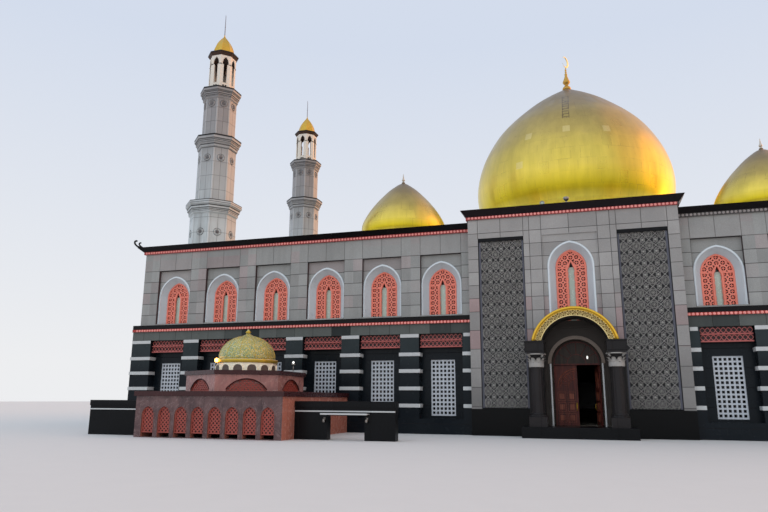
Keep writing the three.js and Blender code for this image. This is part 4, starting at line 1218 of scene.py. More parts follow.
def stud(half, rise):
    # a low four-sided point on an XZ plane, seen from -Y
    base = half * np.array([[1, 0], [0, 1], [-1, 0], [0, -1]])
    points = np.vstack([spots(base[:, 0], 0.0, base[:, 1]), [[0, -rise, 0]]])
    k = np.arange(4)
    return points, [np.column_stack([k, (k + 1) % 4, np.full(4, 4)]), k[None, ::-1]]


def carvedPanel(sign):
    # a square grid of ringed flowers: eight short petals in a ring, slanting double lines between the
    # squares, studs at the corners and small diamonds in the gaps
    v = carving
    w = (v["outer"] - v["inner"]) / v["columns"]
    t = (v["top"] - v["bottom"]) / v["rows"]
    y = -v["ground"]
    s, r = v["line"], v["rise"]
    shapes = [ridge(ringPath(0.19, 12, y), s, r, True), moved(stud(0.05, r * 1.2), (0, y, 0)),
              moved(stud(0.085, r * 1.3), (w / 2, y, t / 2))]
    diamond = [(-w / 2, 0), (0, t / 2), (w / 2, 0), (0, -t / 2)]
    for a, b in zip(diamond, diamond[1:] + diamond[:1]):
        shapes.append(ridge([[a[0], y, a[1]], [b[0], y, b[1]]], s, r * 0.8))
    shapes += [spoke(angle, y, 0.06, 0.135, (0, 0), s, r * 0.9) for angle in np.pi / 4 * np.arange(8)]
    for kx, kz in ((1, 1), (1, -1), (-1, 1), (-1, -1)):
        shapes.append(moved(stud(0.034, r), (kx * w * 0.33, y, kz * t * 0.33)))
        shapes.append(ridge([[kx * w * 0.5, y, kz * 0.13], [kx * (w * 0.5 - 0.12), y, kz * t * 0.5]],
                            s * 0.8, r * 0.6))
    x = v["inner"] + w * (np.arange(v["columns"]) + 0.5)
    z = v["bottom"] + t * (np.arange(v["rows"]) + 0.5)
    x, z = [a.ravel() for a in np.meshgrid(x, z)]
    return repeated(joined(shapes), spots(sign * x, 0.0, z))


makePiece("portal_lattices", [carvedPanel(-1), carvedPanel(1)], reliefLine)
inner, outer, bottom, top = (carving[k] for k in ("inner", "outer", "bottom", "top"))
back = -carving["ground"] + 0.015
panelStrips = [[[inner + 0.03, back - 0.07, bottom + 0.05], [inner + 0.13, back, top - 0.22]],
               [[outer - 0.15, back - 0.07, bottom + 0.05], [outer - 0.03, back, top - 0.22]]]
# painted shadow: the frame's top strip is a black sheet for the shadow under the lintel; the other three
# strips are thin dark edges
panelFrameAndTopShadow = [[[inner, back - 0.16, top - 0.2], [outer, back, top]],
              [[inner, back - 0.1, bottom], [outer, back, bottom + 0.06]],
              [[inner, back - 0.12, bottom], [inner + 0.03, back, top - 0.2]],
              [[outer - 0.03, back - 0.12, bottom], [outer, back, top - 0.2]]]
panelEdge = paintFinish("panel_edge_stone", linear(82, 83, 94), 0.12, (0.3, 0.45), dirt=linear(50, 50, 56))
makePiece("portal_lattice_strips", [mirroredBoxes(panelStrips)], panelEdge, bevel=0.012)
makePiece("portal_lattice_frames_and_shadow", [mirroredBoxes(panelFrameAndTopShadow)], black, bevel=0.01)

portalBeads = [beadRow(-6.0, 6.0, -32.31, 12.97)]
sideBeads = beadRow(-0.65, 0.65, -6.11, 12.97)
portalBeads += [moved(sideBeads, (0, -31.45, 0), sign * np.pi / 2) for sign in (-1, 1)]
makePiece("portal_beads", portalBeads, beadPaint)

hoodRing = {
    "centre": 4.72, "front": 33.73, "spring": 5.25, "motifs": 20, "scrolls": 2.045, "innerRoll": 1.88,
    "rolls": [(2.31, 0.075, 10), (2.2, 0.03, 6)],  # radius of the arc, half thickness and sides
}


def onArc(shape, radius, centre):
    # bends a flat strip round the arch: its x runs along the arc, its z runs outwards
    points, faces = shape
    a = np.pi / 2 - points[:, 0] / radius
    reach = radius + points[:, 2]
    return np.column_stack([reach * np.cos(a), points[:, 1], centre + reach * np.sin(a)]), faces


def hoodArc(radius, steps=48):  # the part of a circle about the hood's centre that lies above the spring
    a = np.arcsin((hoodRing["spring"] - hoodRing["centre"]) / radius)
    a = np.linspace(a, np.pi - a, steps)
    return spots(radius * np.cos(a), -hoodRing["front"], hoodRing["centre"] + radius * np.sin(a))


rolls = [tube(hoodArc(radius), half, sides) for radius, half, sides in hoodRing["rolls"]]
makePiece("hood_rolls", rolls, gilt, smooth=True)
makePiece("hood_inner_roll", [tube(hoodArc(hoodRing["innerRoll"]), 0.03)], paleGilt, smooth=True)


def hoodScrolls():
    # two crossing waves with a curl and leaves in every turn
    v = hoodRing
    middle = v["scrolls"]
    span = middle * (np.pi - 2 * np.arcsin((v["spring"] - v["centre"]) / middle))
    pitch = span / v["motifs"]
    y = -v["front"] - 0.005
    s = np.linspace(-span / 2, span / 2, v["motifs"] * 8 + 1)
    shapes = [ridge(spots(s, y, 0.1 * np.sin(2 * np.pi * (s + span / 2) / (2 * pitch) + phase)),
                    0.014, 0.03) for phase in (0, np.pi)]
    t = np.linspace(0, 2.2 * np.pi, 14)
    curl = ridge(spots((0.014 + 0.009 * t) * np.cos(t), y, (0.014 + 0.009 * t) * np.sin(t)), 0.012, 0.026)
    leaf = ridge([[0.03, y, 0.09], [0.07, y, 0.125], [0.1, y, 0.12]], 0.016, 0.024)
    places = spots(-span / 2 + pitch * (np.arange(v["motifs"]) + 0.5))
    shapes.append(repeated(curl, places))
    for kx, kz in ((1, 1), (-1, 1), (1, -1), (-1, -1)):
        shapes.append(repeated((leaf[0] * [kx, 1, kz], leaf[1]), places))
    return onArc(joined(shapes), middle, v["centre"])


makePiece("hood_scrolls", [hoodScrolls()], paleGilt)

entrance = {"blockX": [1.66, 2.7], "columnX": 2.12, "columnY": -33.3}
blockIn, blockOut = entrance["blockX"]
lips = [[[blockIn - 0.03, -33.79, 5.16], [blockOut + 0.03, -32.29, 5.25]],
        [[blockIn - 0.02, -33.775, 4.66], [blockOut + 0.02, -32.29, 4.72]]]
makePiece("entablature_lips", [mirroredBoxes(lips)], darkHood, bevel=0.02)


def capitalParts():
    # a bell between a plain band and a slab, dark as painted shade in the hollows behind the leaves, and on
    # it two rows of leaves that curl out and four corner scrolls: each leaf is an arched sheet whose half
    # width shrinks with the cube of its height
    shadedBell = [[0.3, 4.02], [0.37, 4.02], [0.36, 4.2], [0.4, 4.36], [0.47, 4.48], [0.3, 4.48]]
    band = [[0.3, 3.8], [0.4, 3.8], [0.42, 3.82], [0.42, 4.0], [0.4, 4.03], [0.3, 4.03]]
    slab = [[0.3, 4.48], [0.52, 4.48], [0.54, 4.5], [0.54, 4.54], [0.3, 4.54]]
    pale = [turned(band, 24, closed=True), turned(slab, 24, closed=True)]
    u = np.linspace(0, 1, 7)[:, None]
    side = np.array([[-1, -0.5, 0, 0.5, 1]])
    for base, tall, count, shift in ((4.0, 0.22, 8, 0.0), (4.06, 0.32, 8, np.pi / 8)):
        width = 0.12 * np.sqrt(np.clip(1 - u ** 3, 0, 1)) + 0.004
        out = 0.38 + 0.15 * u ** 3 + 0.03 * (1 - side ** 2)
        front = np.stack([width * side, -out, base + tall * (u - 0.22 * u ** 5) + np.zeros((7, 5))], axis=2)
        back = front + [0, 0.03, -0.01]
        points = np.concatenate([front.reshape(-1, 3), back.reshape(-1, 3)])
        grid = gridFaces(7, 5)
        rim = np.concatenate([np.arange(5), np.arange(9, 35, 5), np.arange(33, 29, -1),
                              np.arange(25, 0, -5)])
        sides = np.column_stack([rim, np.roll(rim, -1), np.roll(rim, -1) + 35, rim + 35])
        leaf = (points, [grid, grid[:, ::-1] + 35, sides])
        pale.append(repeated(leaf, np.zeros((count, 3)), shift + 2 * np.pi * np.arange(count) / count))
    t = np.linspace(0, 3.2 * np.pi, 20)
    r = 0.11 * np.exp(-0.16 * t)
    scroll = spots(-0.58 - r * np.cos(t) + 0.11, 0.0, 4.4 + r * np.sin(t))
    pale.append(repeated(tube(scroll, 0.028, 5), np.zeros((4, 3)), np.pi / 4 + np.pi / 2 * np.arange(4)))
    return turned(shadedBell, 24, closed=True), joined(pale)


columnPlaces = [[side * entrance["columnX"], entrance["columnY"], 0] for side in (-1, 1)]
shadedBell, leaves = capitalParts()
# painted shade: the bells take dark stone so that the hollows behind the pale leaves read as shaded
makePiece("capital_shade_bells", [repeated(shadedBell, columnPlaces)], darkHood)
makePiece("capitals", [repeated(leaves, columnPlaces)], capital)
foot = [[0.3, 1.1], [0.47, 1.1], [0.49, 1.14], [0.47, 1.19], [0.42, 1.22], [0.43, 1.27], [0.4, 1.31],
        [0.375, 1.34], [0.3, 1.34]]
feet = repeated(turned(foot, 24, closed=True), columnPlaces)
makePiece("column_feet", [feet], darkHood)

doorway = {"inner": 1.37, "outer": 1.55, "stripEdge": 1.46, "spring": 4.05, "face": 32.2, "reach": 0.035}


def roundBand(inner, outer, y0, y1, centre, steps=28):  # half a flat ring about (0, centre)
    a = np.linspace(0.0, np.pi, steps)
    path = spots(np.cos(a), 0.0, np.sin(a))
    section = ((inner, y0), (outer, y0), (outer, y1), (inner, y1))
    points = np.stack([path * r + [0, y, centre] for r, y in section], axis=1)
    ends = np.stack([np.arange(4)[::-1], (steps - 1) * 4 + np.arange(4)])
    return points.reshape(-1, 3), [gridFaces(steps, 4, False, True), ends]


archBrown = paintFinish("door_arch_stone", linear(112, 98, 86), dirt=linear(60, 50, 44))
face, reach = -doorway["face"], doorway["reach"]
ring = [roundBand(doorway["inner"], doorway["outer"], face - reach, face + 0.3, doorway["spring"]),
        roundBand(doorway["outer"] - 0.05, doorway["outer"] + 0.01, face - reach - 0.03, face - reach + 0.01,
                  doorway["spring"])]
makePiece("door_arch_ring", ring, archBrown)
strip = [[doorway["inner"], face - reach, hall["floor"]],
         [doorway["stripEdge"], face + 0.3, doorway["spring"]]]
makePiece("door_jamb_strips", [mirroredBoxes([strip], (1, -1))], whiteStone, bevel=0.015)


fan = {"centre": 4.08, "inner": 0.54, "outer": 1.2, "front": -31.47, "back": -31.44}
tympanum = [roundBand(fan["outer"], fan["outer"] + 0.07, fan["front"], fan["back"], fan["centre"]),
            roundBand(fan["inner"] - 0.04, fan["inner"], fan["front"], fan["back"], fan["centre"]),
            boxes([[-1.3, fan["front"] - 0.005, fan["centre"] - 0.08]], [[1.3, fan["back"], fan["centre"]]])]
tympanum += [spoke(angle, fan["back"] - 0.005, fan["inner"], fan["outer"], (0, fan["centre"]), 0.02, 0.025)
             for angle in np.radians([30, 60, 90, 120, 150])]
makePiece("tympanum_ribs", tympanum, wood)

leafPlace = {
    "front": -31.34, "outer": -1.288, "inner": -0.01, "hinge": [1.294, -31.224], "open": np.radians(-80),
    "panelFoot": 0.812, "panelPitch": 0.6, "panelTall": 0.46, "moulding": 0.022, "archFoot": 2.72,
}


def leafTrim():
    # mouldings round the six panels and a carved quarter ring above them
    v = leafPlace
    y, w, tall = v["front"], v["moulding"], v["panelTall"]
    shapes = []
    for a, b in ((v["outer"] + 0.17, v["outer"] + 0.58), (v["outer"] + 0.71, v["inner"] - 0.17)):
        for row in range(3):
            z = v["panelFoot"] + row * v["panelPitch"]
            # the four sides of the moulding and the raised middle of the panel
            shapes.append(boxes(
                [[a - w, y - 0.018, z - w], [a - w, y - 0.018, z + tall], [a - w, y - 0.018, z],
                 [b, y - 0.018, z], [a + 0.07, y + 0.01, z + 0.08]],
                [[b + w, y + 0.02, z], [b + w, y + 0.02, z + tall + w], [a, y + 0.02, z + tall],
                 [b + w, y + 0.02, z + tall], [b - 0.07, y + 0.03, z + 0.38]]))
    a = np.linspace(np.pi / 2, np.pi, 16)
    for radius, width in ((1.08, 0.028), (0.94, 0.02), (0.5, 0.02)):
        ring = spots(v["inner"] - 0.03 + radius * np.cos(a), y, v["archFoot"] + radius * np.sin(a))
        shapes.append(ridge(ring, width, 0.02))
    shapes += [spoke(angle, y, 0.5, 0.94, (v["inner"] - 0.03, v["archFoot"]), 0.016, 0.016)
               for angle in np.radians([105, 120, 135, 150, 165])]
    return joined(shapes)


def leafHandle():  # a bowed grip on a plate
    y = leafPlace["front"]
    x = leafPlace["inner"] - 0.09
    bow = [[x, y, 1.5], [x, y - 0.05, 1.52], [x, y - 0.06, 1.56], [x, y - 0.06, 1.76], [x, y - 0.05, 1.8],
           [x, y, 1.82]]
    plate = boxes([[x - 0.03, y - 0.008, 1.44]], [[x + 0.03, y, 1.88]])
    return joined([tube(bow, 0.014, flat=(1, 0, 0)), plate])


def onRightLeaf(shape):
    # the mirror image of the left leaf's trim, swung open about the right hinge
    points, faces = shape
    hx, hy = leafPlace["hinge"]
    return moved((points * [-1, 1, 1] - [hx, hy, 0], faces), (hx, hy, 0), leafPlace["open"])


makePiece("left_leaf_trim", [leafTrim()], trimWood, body="left_door")
makePiece("right_leaf_trim", [onRightLeaf(leafTrim())], trimWood, body="right_door")
makePiece("left_leaf_handle", [leafHandle()], gilt, body="left_door", smooth=True)
makePiece("right_leaf_handle", [onRightLeaf(leafHandle())], gilt, body="right_door", smooth=True)
print("portal in place")

# Domes and finials, smooth where the CAD solids have flat facets


def turnedWithPoles(profile, sides, centre=(0, 0)):
    # a turned profile whose end points on the axis become single points
    profile = np.asarray(profile, float)
    body = profile[1:-1]
    points, faces = turned(body, sides, centre)
    ends = np.array([[centre[0], centre[1], profile[0, 1]], [centre[0], centre[1], profile[-1, 1]]])
    k = np.arange(sides)
    top, last = len(points), (len(body) - 1) * sides
    fans = [np.column_stack([np.full(sides, top), (k + 1) % sides, k]),
            np.column_stack([np.full(sides, top + 1), last + k, last + (k + 1) % sides])]
    return np.vstack([points, ends]), faces + fans


def shellLine(v):
    # a closed section through a dome: the outer curve from the tip down, then the inner face up to the axis
    outer = smoothLine(v["outline"], 6)
    lean = np.gradient(outer, axis=0)
    inwards = v["shell"] * np.column_stack([-lean[:, 1], lean[:, 0]])
    inner = outer + inwards / np.linalg.norm(lean, axis=1)[:, None]
    inner = inner[(inner[:, 0] > 6 * v["shell"]) & (inner[:, 1] > v["outline"][0][1] + 0.1)]
    foot = [[v["outline"][0][0] - v["shell"], v["outline"][0][1]]]
    return np.vstack([outer[::-1], foot, inner, [[0, inner[-1, 1] + v["shell"]]]])


def finialLine(z, size):
    # from the foot up: a dish, a pear, two beads and a small cone on a tapering stem
    steps = [[0.34, 0], [0.46, 0.07], [0.47, 0.14], [0.44, 0.28], [0.33, 0.42], [0.2, 0.54], [0.17, 0.61],
             [0.2, 0.68], [0.33, 0.82], [0.4, 0.95], [0.39, 1.06], [0.3, 1.26], [0.2, 1.55], [0.14, 1.78],
             [0.13, 1.84], [0.16, 1.9], [0.16, 1.98], [0.12, 2.04], [0.07, 2.1], [0.07, 2.13], [0.11, 2.18],
             [0.11, 2.25], [0.06, 2.33], [0.06, 2.37], [0.1, 2.43], [0.1, 2.48], [0.04, 2.7], [0.0, 2.85]]
    return np.array(steps) * size + [0, z]


mainShape = {
    "shell": 0.35,
    "outline": [[9.35, 20.2], [10.0, 22.0], [10.25, 24.0], [9.99, 26.0], [9.27, 28.0], [8.11, 30.0],
                [6.82, 31.5], [5.17, 33.0], [3.93, 34.0], [2.46, 35.0], [1.31, 35.7], [0.42, 36.25]],
}
profile = np.vstack([[[0, 36.25]], shellLine(mainShape)])
piece = makePiece("main_dome_sheet", [turnedWithPoles(profile, 180)], mainGold, smooth=True)
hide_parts("main_dome")

moonShape = {
    "foot": 36.25, "centre": 3.474, "radius": 0.68, "hollowX": -0.18, "hollowRadius": 0.55, "half": 0.07,
    "turn": 62,
}


def moon():
    # a ring that thins to its two horns: oval sections between an outer circle and a shifted inner one
    v = moonShape
    z = v["foot"] + v["centre"]
    t = np.linspace(-1, 1, 41)
    a, b = t * np.radians(154), t * np.radians(141)
    outerLine = np.column_stack([v["radius"] * np.cos(a), v["radius"] * np.sin(a)])
    innerLine = np.column_stack([v["hollowX"] + v["hollowRadius"] * np.cos(b),
                                 v["hollowRadius"] * np.sin(b)])
    middle, arm = (outerLine + innerLine) / 2, (outerLine - innerLine) / 2
    thick = v["half"] * np.clip(np.hypot(arm[:, 0], arm[:, 1]) / 0.12, 0.2, 1.0)
    s = 2 * np.pi * np.arange(10) / 10
    x = middle[:, :1] + arm[:, :1] * np.cos(s)
    height = middle[:, 1:] + arm[:, 1:] * np.cos(s) + z
    y = thick[:, None] * np.sin(s)
    ends = np.stack([np.arange(10)[::-1], 400 + np.arange(10)])
    points = np.stack([x, y, height], axis=2).reshape(-1, 3)
    return moved((points, [gridFaces(41, 10, False, True), ends]), angle=np.radians(v["turn"]))


stem = turnedWithPoles(np.vstack([[[0, 36.251]], finialLine(36.251, 1.0)]), 40)
finialGilt = giltFinish("finial_gilt", linear(200, 158, 78), 0.34)
piece = makePiece("main_dome_finial", [stem], finialGilt, smooth=True)
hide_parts("main_finial")
makePiece("main_dome_crescent", [moon()], paleGilt, smooth=True)

cornerShape = {
    "shell": 0.2,
    "outline": [[3.38, 15.05], [3.5, 15.6], [3.44, 16.3], [2.98, 17.2], [2.4, 18.0], [1.78, 18.7],
                [1.17, 19.3], [0.52, 19.8], [0.16, 20.0]],
}
corners = {f"{column}_{row}": (x, y) for column, x in (("left", -13.6), ("right", 13.6))
           for row, y in (("front", -19.9), ("rear", 19.9))}
profile = np.vstack([finialLine(20.0, 0.32)[:2:-1], shellLine(cornerShape)])
for corner, place in corners.items():
    sheet = turnedWithPoles(profile, 96, place)
    piece = makePiece(f"{corner}_dome_sheet", [sheet], cornerGold, smooth=True)
    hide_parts(f"{corner}_dome")

drums = {
    "main": {
        "radius": 9.45, "arches": 20, "width": 0.16, "proud": 0.06,
        "arch": {"half": 0.85, "sill": 14.2, "rise": 1.0, "apex": 18.3},
        "wall": [[8.9, 12.301], [9.9, 12.301], [9.9, 13.2], [9.45, 13.3], [9.45, 19.2], [9.6, 19.3],
                 [9.6, 19.7], [10.0, 20.0], [10.0, 20.199], [8.9, 20.199]],
    },
    "corner": {
        "radius": 3.0, "arches": 12, "width": 0.09, "proud": 0.04,
        "arch": {"half": 0.42, "sill": 12.75, "rise": 0.5, "apex": 14.3},
        "wall": [[2.7, 12.301], [3.0, 12.301], [3.0, 14.55], [3.4, 14.85], [3.4, 15.049], [2.7, 15.049]],
    },
}


def drumArches(v, centre=(0, 0)):
    # raised borders of blind arches all round a drum
    width, rise = v["width"], v["proud"]
    profile = moulding(width, width * 0.4, rise, rise + 0.03, 0.12)
    angles = 2 * np.pi * np.arange(v["arches"]) / v["arches"]
    places = np.tile([centre[0], centre[1], 0], (v["arches"], 1))
    return repeated(archFrame(v["arch"], profile, v["radius"], 8), places, angles)


shapes = [drumArches(drums["main"])] + [drumArches(drums["corner"], place) for place in corners.values()]
makePiece("drum_arches", shapes, whiteStone)
piece = makePiece("main_drum_wall", [turned(drums["main"]["wall"], 144, closed=True)], wall)
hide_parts("main_drum")
for corner, place in corners.items():
    cornerWall = turned(drums["corner"]["wall"], 72, place, closed=True)
    piece = makePiece(f"{corner}_drum_wall", [cornerWall], wall)
    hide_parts(f"{corner}_drum")
print("domes in place")

# Minarets

towerPlaces = [(side * towers["x"], y) for side in (-1, 1) for y in towers["ys"]]
eighths = np.pi / 4 * np.arange(8)
toCorner = 1 / np.cos(np.pi / 8)


def onTowers(shape):
    # a shape made for the face that looks along -Y of a tower at the origin, put on all faces of all four
    places = np.repeat([[x, y, 0] for x, y in towerPlaces], 8, axis=0)
    return repeated(shape, places, np.tile(eighths, len(towerPlaces)))


def onEachTower(shape):  # a whole shape on each of the four
    return repeated(shape, [[x, y, 0] for x, y in towerPlaces])


def octagonLine(profile):
    # a closed section carried round the eight sides, its radii measured to the flat sides
    return turned(np.array(profile) * [toCorner, 1], 8, firstAngle=np.pi / 8, closed=True)


medallions, hearts = [], []
for half, z in towers["medallions"]:
    y = -half
    medallions.append(ridge(ringPath(0.27, 20, y + 0.005, 0, z), 0.06, 0.07, True))
    hearts.append(ridge(ringPath(0.345, 20, y + 0.005, 0, z), 0.016, 0.03, True))
    a = np.pi / 8 * np.arange(16)
    reach = np.where(np.arange(16) % 2 == 0, 0.18, 0.13)
    star = spots(reach * np.cos(a), y - 0.03, z + reach * np.sin(a))
    points = np.vstack([star, star + [0, 0.05, 0], [[0, y - 0.06, z]]])
    k = np.arange(16)
    rays = np.column_stack([np.full(16, 32), k, (k + 1) % 16])
    sides = np.column_stack([k, k + 16, (k + 1) % 16 + 16, (k + 1) % 16])
    hearts.append((points, [rays, sides, np.arange(16, 32)[None]]))
makePiece("minaret_medallions", [onTowers(joined(medallions))], minaret)
heartPaint = paintFinish("medallion_heart", linear(96, 92, 92), dirt=linear(54, 50, 50))
makePiece("minaret_medallion_hearts", [onTowers(joined(hearts))], heartPaint)

rings, edgesAndShadowLines = [], []
for neck, reach, bottom, top in towers["collars"]:
    rise, step = top - bottom, (reach - neck) / 3
    for share, level in ((0.95, 0.36), (1.95, 0.66), (3.0, 0.9)):
        half, z = min(neck + step * share, reach - 0.037), bottom + rise * level
        rings.append(octagonLine([[half - 0.04, z - 0.05], [half + 0.035, z - 0.035],
                                  [half + 0.035, z + 0.02], [half - 0.04, z + 0.03]]))
        # painted shadow: a dark band just under each ring; the bands at the collar tops and the eave are dark
        # edges
        edgesAndShadowLines.append(octagonLine([[half - 0.06, z - 0.1], [half + 0.012, z - 0.1],
                                  [half + 0.012, z - 0.045], [half - 0.06, z - 0.045]]))
    edge = min(reach + 0.02, towers["collars"][0][1] - 0.002)
    edgesAndShadowLines.append(octagonLine([[edge - 0.07, top - 0.04], [edge, top - 0.04], [edge, top + 0.07],
                              [edge - 0.07, top + 0.07]]))
half, low, high = towers["eave"]
edgesAndShadowLines.append(octagonLine([[half - 0.05, low], [half + 0.03, low + 0.03], [half + 0.03, high - 0.002],
                          [half - 0.05, high - 0.002]]))
makePiece("minaret_collar_rings", [onEachTower(joined(rings))], minaret)
makePiece("minaret_dark_edges_and_shadow_lines", [onEachTower(joined(edgesAndShadowLines))], darkHood, bevel=0.012)

keyhole = {"half": 0.29, "sill": 33.5, "rise": 0.62, "apex": 34.28, "slot": 0.17, "foot": 31.6}
face = towers["lantern"]
head = archFrame(keyhole, moulding(0.05, 0.02, 0.02, 0.035, 0.03), face, 8)
slot, foot, sill = keyhole["slot"], keyhole["foot"], keyhole["sill"]
half, wide = keyhole["half"], 0.05
y0, y1 = -face - 0.02, -face + 0.03
# the two sides of the slot, its foot, and the two shoulders under the head
border = boxes([[-slot - wide, y0, foot - wide], [slot, y0, foot - wide], [-slot, y0, foot - wide],
                [-half - wide, y0, sill - wide], [slot + wide, y0, sill - wide]],
               [[-slot, y1, sill - wide], [slot + wide, y1, sill - wide], [slot, y1, foot],
                [-slot - wide, y1, sill], [half + wide, y1, sill]])
makePiece("lantern_mouldings", [onTowers(joined([head, border]))], minaret)
# painted shade: dark boxes stand for the shaded insides of the vents
holes = boxes([[-0.2, -face - 0.012, 31.12], [0.04, -face - 0.012, 31.12]],
              [[-0.03, -face + 0.02, 31.38], [0.2, -face + 0.02, 31.38]])
makePiece("lantern_vents", [onTowers(holes)], shadeVoid, bevel=0.01)
bandPieces = boxes([[-0.478, -face - 0.03, 33.5], [0.35, -face - 0.03, 33.5]],
                   [[-0.35, -face + 0.02, 33.56], [0.478, -face + 0.02, 33.56]])
makePiece("lantern_bands", [onTowers(bandPieces)], darkHood)

capShape = {
    "foot": 34.851,
    "outline": [[0.93, 0], [0.93, 0.25], [0.88, 0.6], [0.78, 0.95], [0.63, 1.28], [0.45, 1.58], [0.24, 1.88],
                [0.09, 2.08], [0.045, 2.22]],
    "spire": [[0.042, 3.2], [0.06, 3.26], [0.042, 3.32], [0.03, 4.5], [0.0, 4.648]],
}


def capSheet(x, y):
    # eight curved sides that meet in rounded ribs, under a thin spire with one bead
    z = capShape["foot"]
    curve = smoothLine(capShape["outline"], 5) + [0, z]
    curve[:, 0] = np.minimum(curve[:, 0], 0.93)
    profile = np.vstack([[[0, z]], curve * [toCorner, 1], np.array(capShape["spire"]) + [0, z]])
    shapes = [moved(turnedWithPoles(profile, 8), angle=np.pi / 8)]
    for a in eighths + np.pi / 8:
        out = curve[:, 0] * toCorner + 0.004
        path = np.column_stack([out * np.cos(a), out * np.sin(a), curve[:, 1]])
        shapes.append(tube(path, 0.016, 4, flat=(-np.sin(a), np.cos(a), 0)))
    return moved(joined(shapes), (x, y, 0))


names = [f"{side}_{row}_minaret_cap" for side in ("left", "right") for row in ("front", "middle")]
for name, (x, y) in zip(names, towerPlaces):
    piece = makePiece(f"{name}_sheet", [capSheet(x, y)], capGold)
    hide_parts(name)
print("minarets in place")

# The annex

annex = {"x": -18.2, "y": -37.0, "front": 40.95, "pitch": 1.004, "radius": 3.3}
annexAxis = (annex["x"], annex["y"])
nicheArch = {"half": 0.37, "sill": 0.25, "rise": 0.45, "apex": 1.6}
meshPitch = 0.21
nicheFace = -annex["front"] + 0.1
nicheCell = latticeCell(meshPitch, nicheFace, nicheFace + 0.04, star=False)


def inNiche(x, z):
    return insideArch(nicheArch, 0.02, x, z)


niche = [screenOf(nicheCell, meshPitch, 4, 7, nicheArch["sill"], inNiche),
         archFrame(nicheArch, [[0.0, 0.16], [0.0, 0.07], [0.025, 0.06], [0.05, 0.07], [0.05, 0.16]],
                   annex["front"], 8),
         boxes([[-0.37, -annex["front"] + 0.06, 0.25]], [[0.37, -annex["front"] + 0.15, 0.3]])]
nichePlaces = spots(annex["x"] + (np.arange(8) - 3.5) * annex["pitch"])
makePiece("annex_niche_screens", [repeated(joined(niche), nichePlaces)], screenRed)
# painted shade: a dark sheet behind each niche screen stands for the niche's shaded back
ground = boxes([[-0.365, -annex["front"] + 0.145, 0.26]], [[0.365, -annex["front"] + 0.158, 1.3]])
makePiece("annex_niche_shade_grounds", [repeated(ground, nichePlaces)], shadeVoid)
rims = archFrame(nicheArch, moulding(0.05, 0.015, 0.012, 0.02, 0.02), annex["front"], 8)
makePiece("annex_niche_rims", [repeated(rims, nichePlaces)], redMarble)

flat = annex["radius"] * np.cos(np.pi / 6)
bow = {"radius": 1.3, "centre": 1.75, "half": 1.06, "bottom": 2.15}
bowCell = latticeCell(meshPitch, -flat + 0.07, -flat + 0.11, star=False)


def inBow(x, z):
    return (np.hypot(x, z - bow["centre"]) < bow["radius"] - 0.06) & (np.abs(x) < bow["half"] - 0.02)


a = np.linspace(np.radians(35), np.radians(145), 20)
bowLine = spots(bow["radius"] * np.cos(a), -flat - 0.005, bow["centre"] + bow["radius"] * np.sin(a))
bows = [screenOf(bowCell, meshPitch, 12, 5, bow["bottom"] + 0.02, inBow),
        tube(bowLine + [0, 0.08, 0], 0.03, 6)]


def aroundAnnex(shape, count, first):
    # copies about the axis of the annex, each made for the face that looks along -Y
    angles = first + 2 * np.pi / count * np.arange(count)
    return repeated(shape, np.tile([*annexAxis, 0], (count, 1)), angles)


makePiece("annex_bow_screens", [aroundAnnex(joined(bows), 6, np.pi / 6)], screenRed)
bowRim = aroundAnnex(tube(bowLine, 0.028, 6), 6, np.pi / 6)
makePiece("annex_bow_rims", [bowRim], maroon, smooth=True)

drum = {"radius": 1.7, "arches": 14}
scallop = {"half": 0.25, "sill": 3.5, "rise": 0.22, "apex": 3.86}
shape = archFrame(scallop, moulding(0.06, 0.03, 0.02, 0.035, 0.05), drum["radius"], 8)
halfStep = np.pi / drum["arches"]
makePiece("annex_drum_scallops", [aroundAnnex(shape, drum["arches"], halfStep)], cream)
scallopLine = archLine(scallop, 0.005, 8)
front = spots(scallopLine[:, 0], -drum["radius"] - 0.006, scallopLine[:, 1])
n = len(front)
k = np.arange(n)
sides = np.column_stack([k, k + n, (k + 1) % n + n, (k + 1) % n])
dark = (np.vstack([front, front + [0, 0.04, 0]]), [k[None], (k + n)[None, ::-1], sides])
openingShade = paintFinish("drum_opening_shade", linear(92, 78, 68), dirt=linear(60, 50, 44))
makePiece("annex_drum_openings", [aroundAnnex(dark, drum["arches"], halfStep)], openingShade)
bandLine = [[1.6, 3.98], [1.74, 3.98], [1.78, 4.02], [1.76, 4.06], [1.8, 4.1], [1.78, 4.15], [1.72, 4.185],
            [1.6, 4.185]]
annexGilt = giltFinish("annex_gilt", linear(208, 176, 70), 0.34)
makePiece("annex_gilt_band", [turned(bandLine, 72, annexAxis, closed=True)], annexGilt,
          smooth=True)

# the dome: an ellipse above an upright foot, then a small pear on top, and the inner face
annexShell = {"foot": 4.182, "radius": 1.62, "height": 1.3}
shellFoot, shellRadius = annexShell["foot"], annexShell["radius"]
a = np.linspace(0, np.pi / 2 * 5 / 6, 20)
outerLine = np.column_stack([shellRadius * np.cos(a), shellFoot + 0.1 + annexShell["height"] * np.sin(a)])
topLine = smoothLine([[0.42, shellFoot + 1.356], [0.12, shellFoot + 1.5], [0.14, shellFoot + 1.6],
                      [0.03, shellFoot + 1.79]], 4)
innerLine = np.array([[0, shellFoot + 1.2], [0.8, shellFoot + 1.05], [1.3, shellFoot + 0.6],
                      [1.45, shellFoot]])
profile = np.vstack([[[0, shellFoot + 1.8]], topLine[::-1], outerLine[::-1][1:], [[shellRadius, shellFoot]],
                     innerLine[::-1]])
piece = makePiece("annex_dome_shell", [turnedWithPoles(profile, 72, annexAxis)], mosaic,
                  smooth=True)
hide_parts("annex_dome")
ribs = []
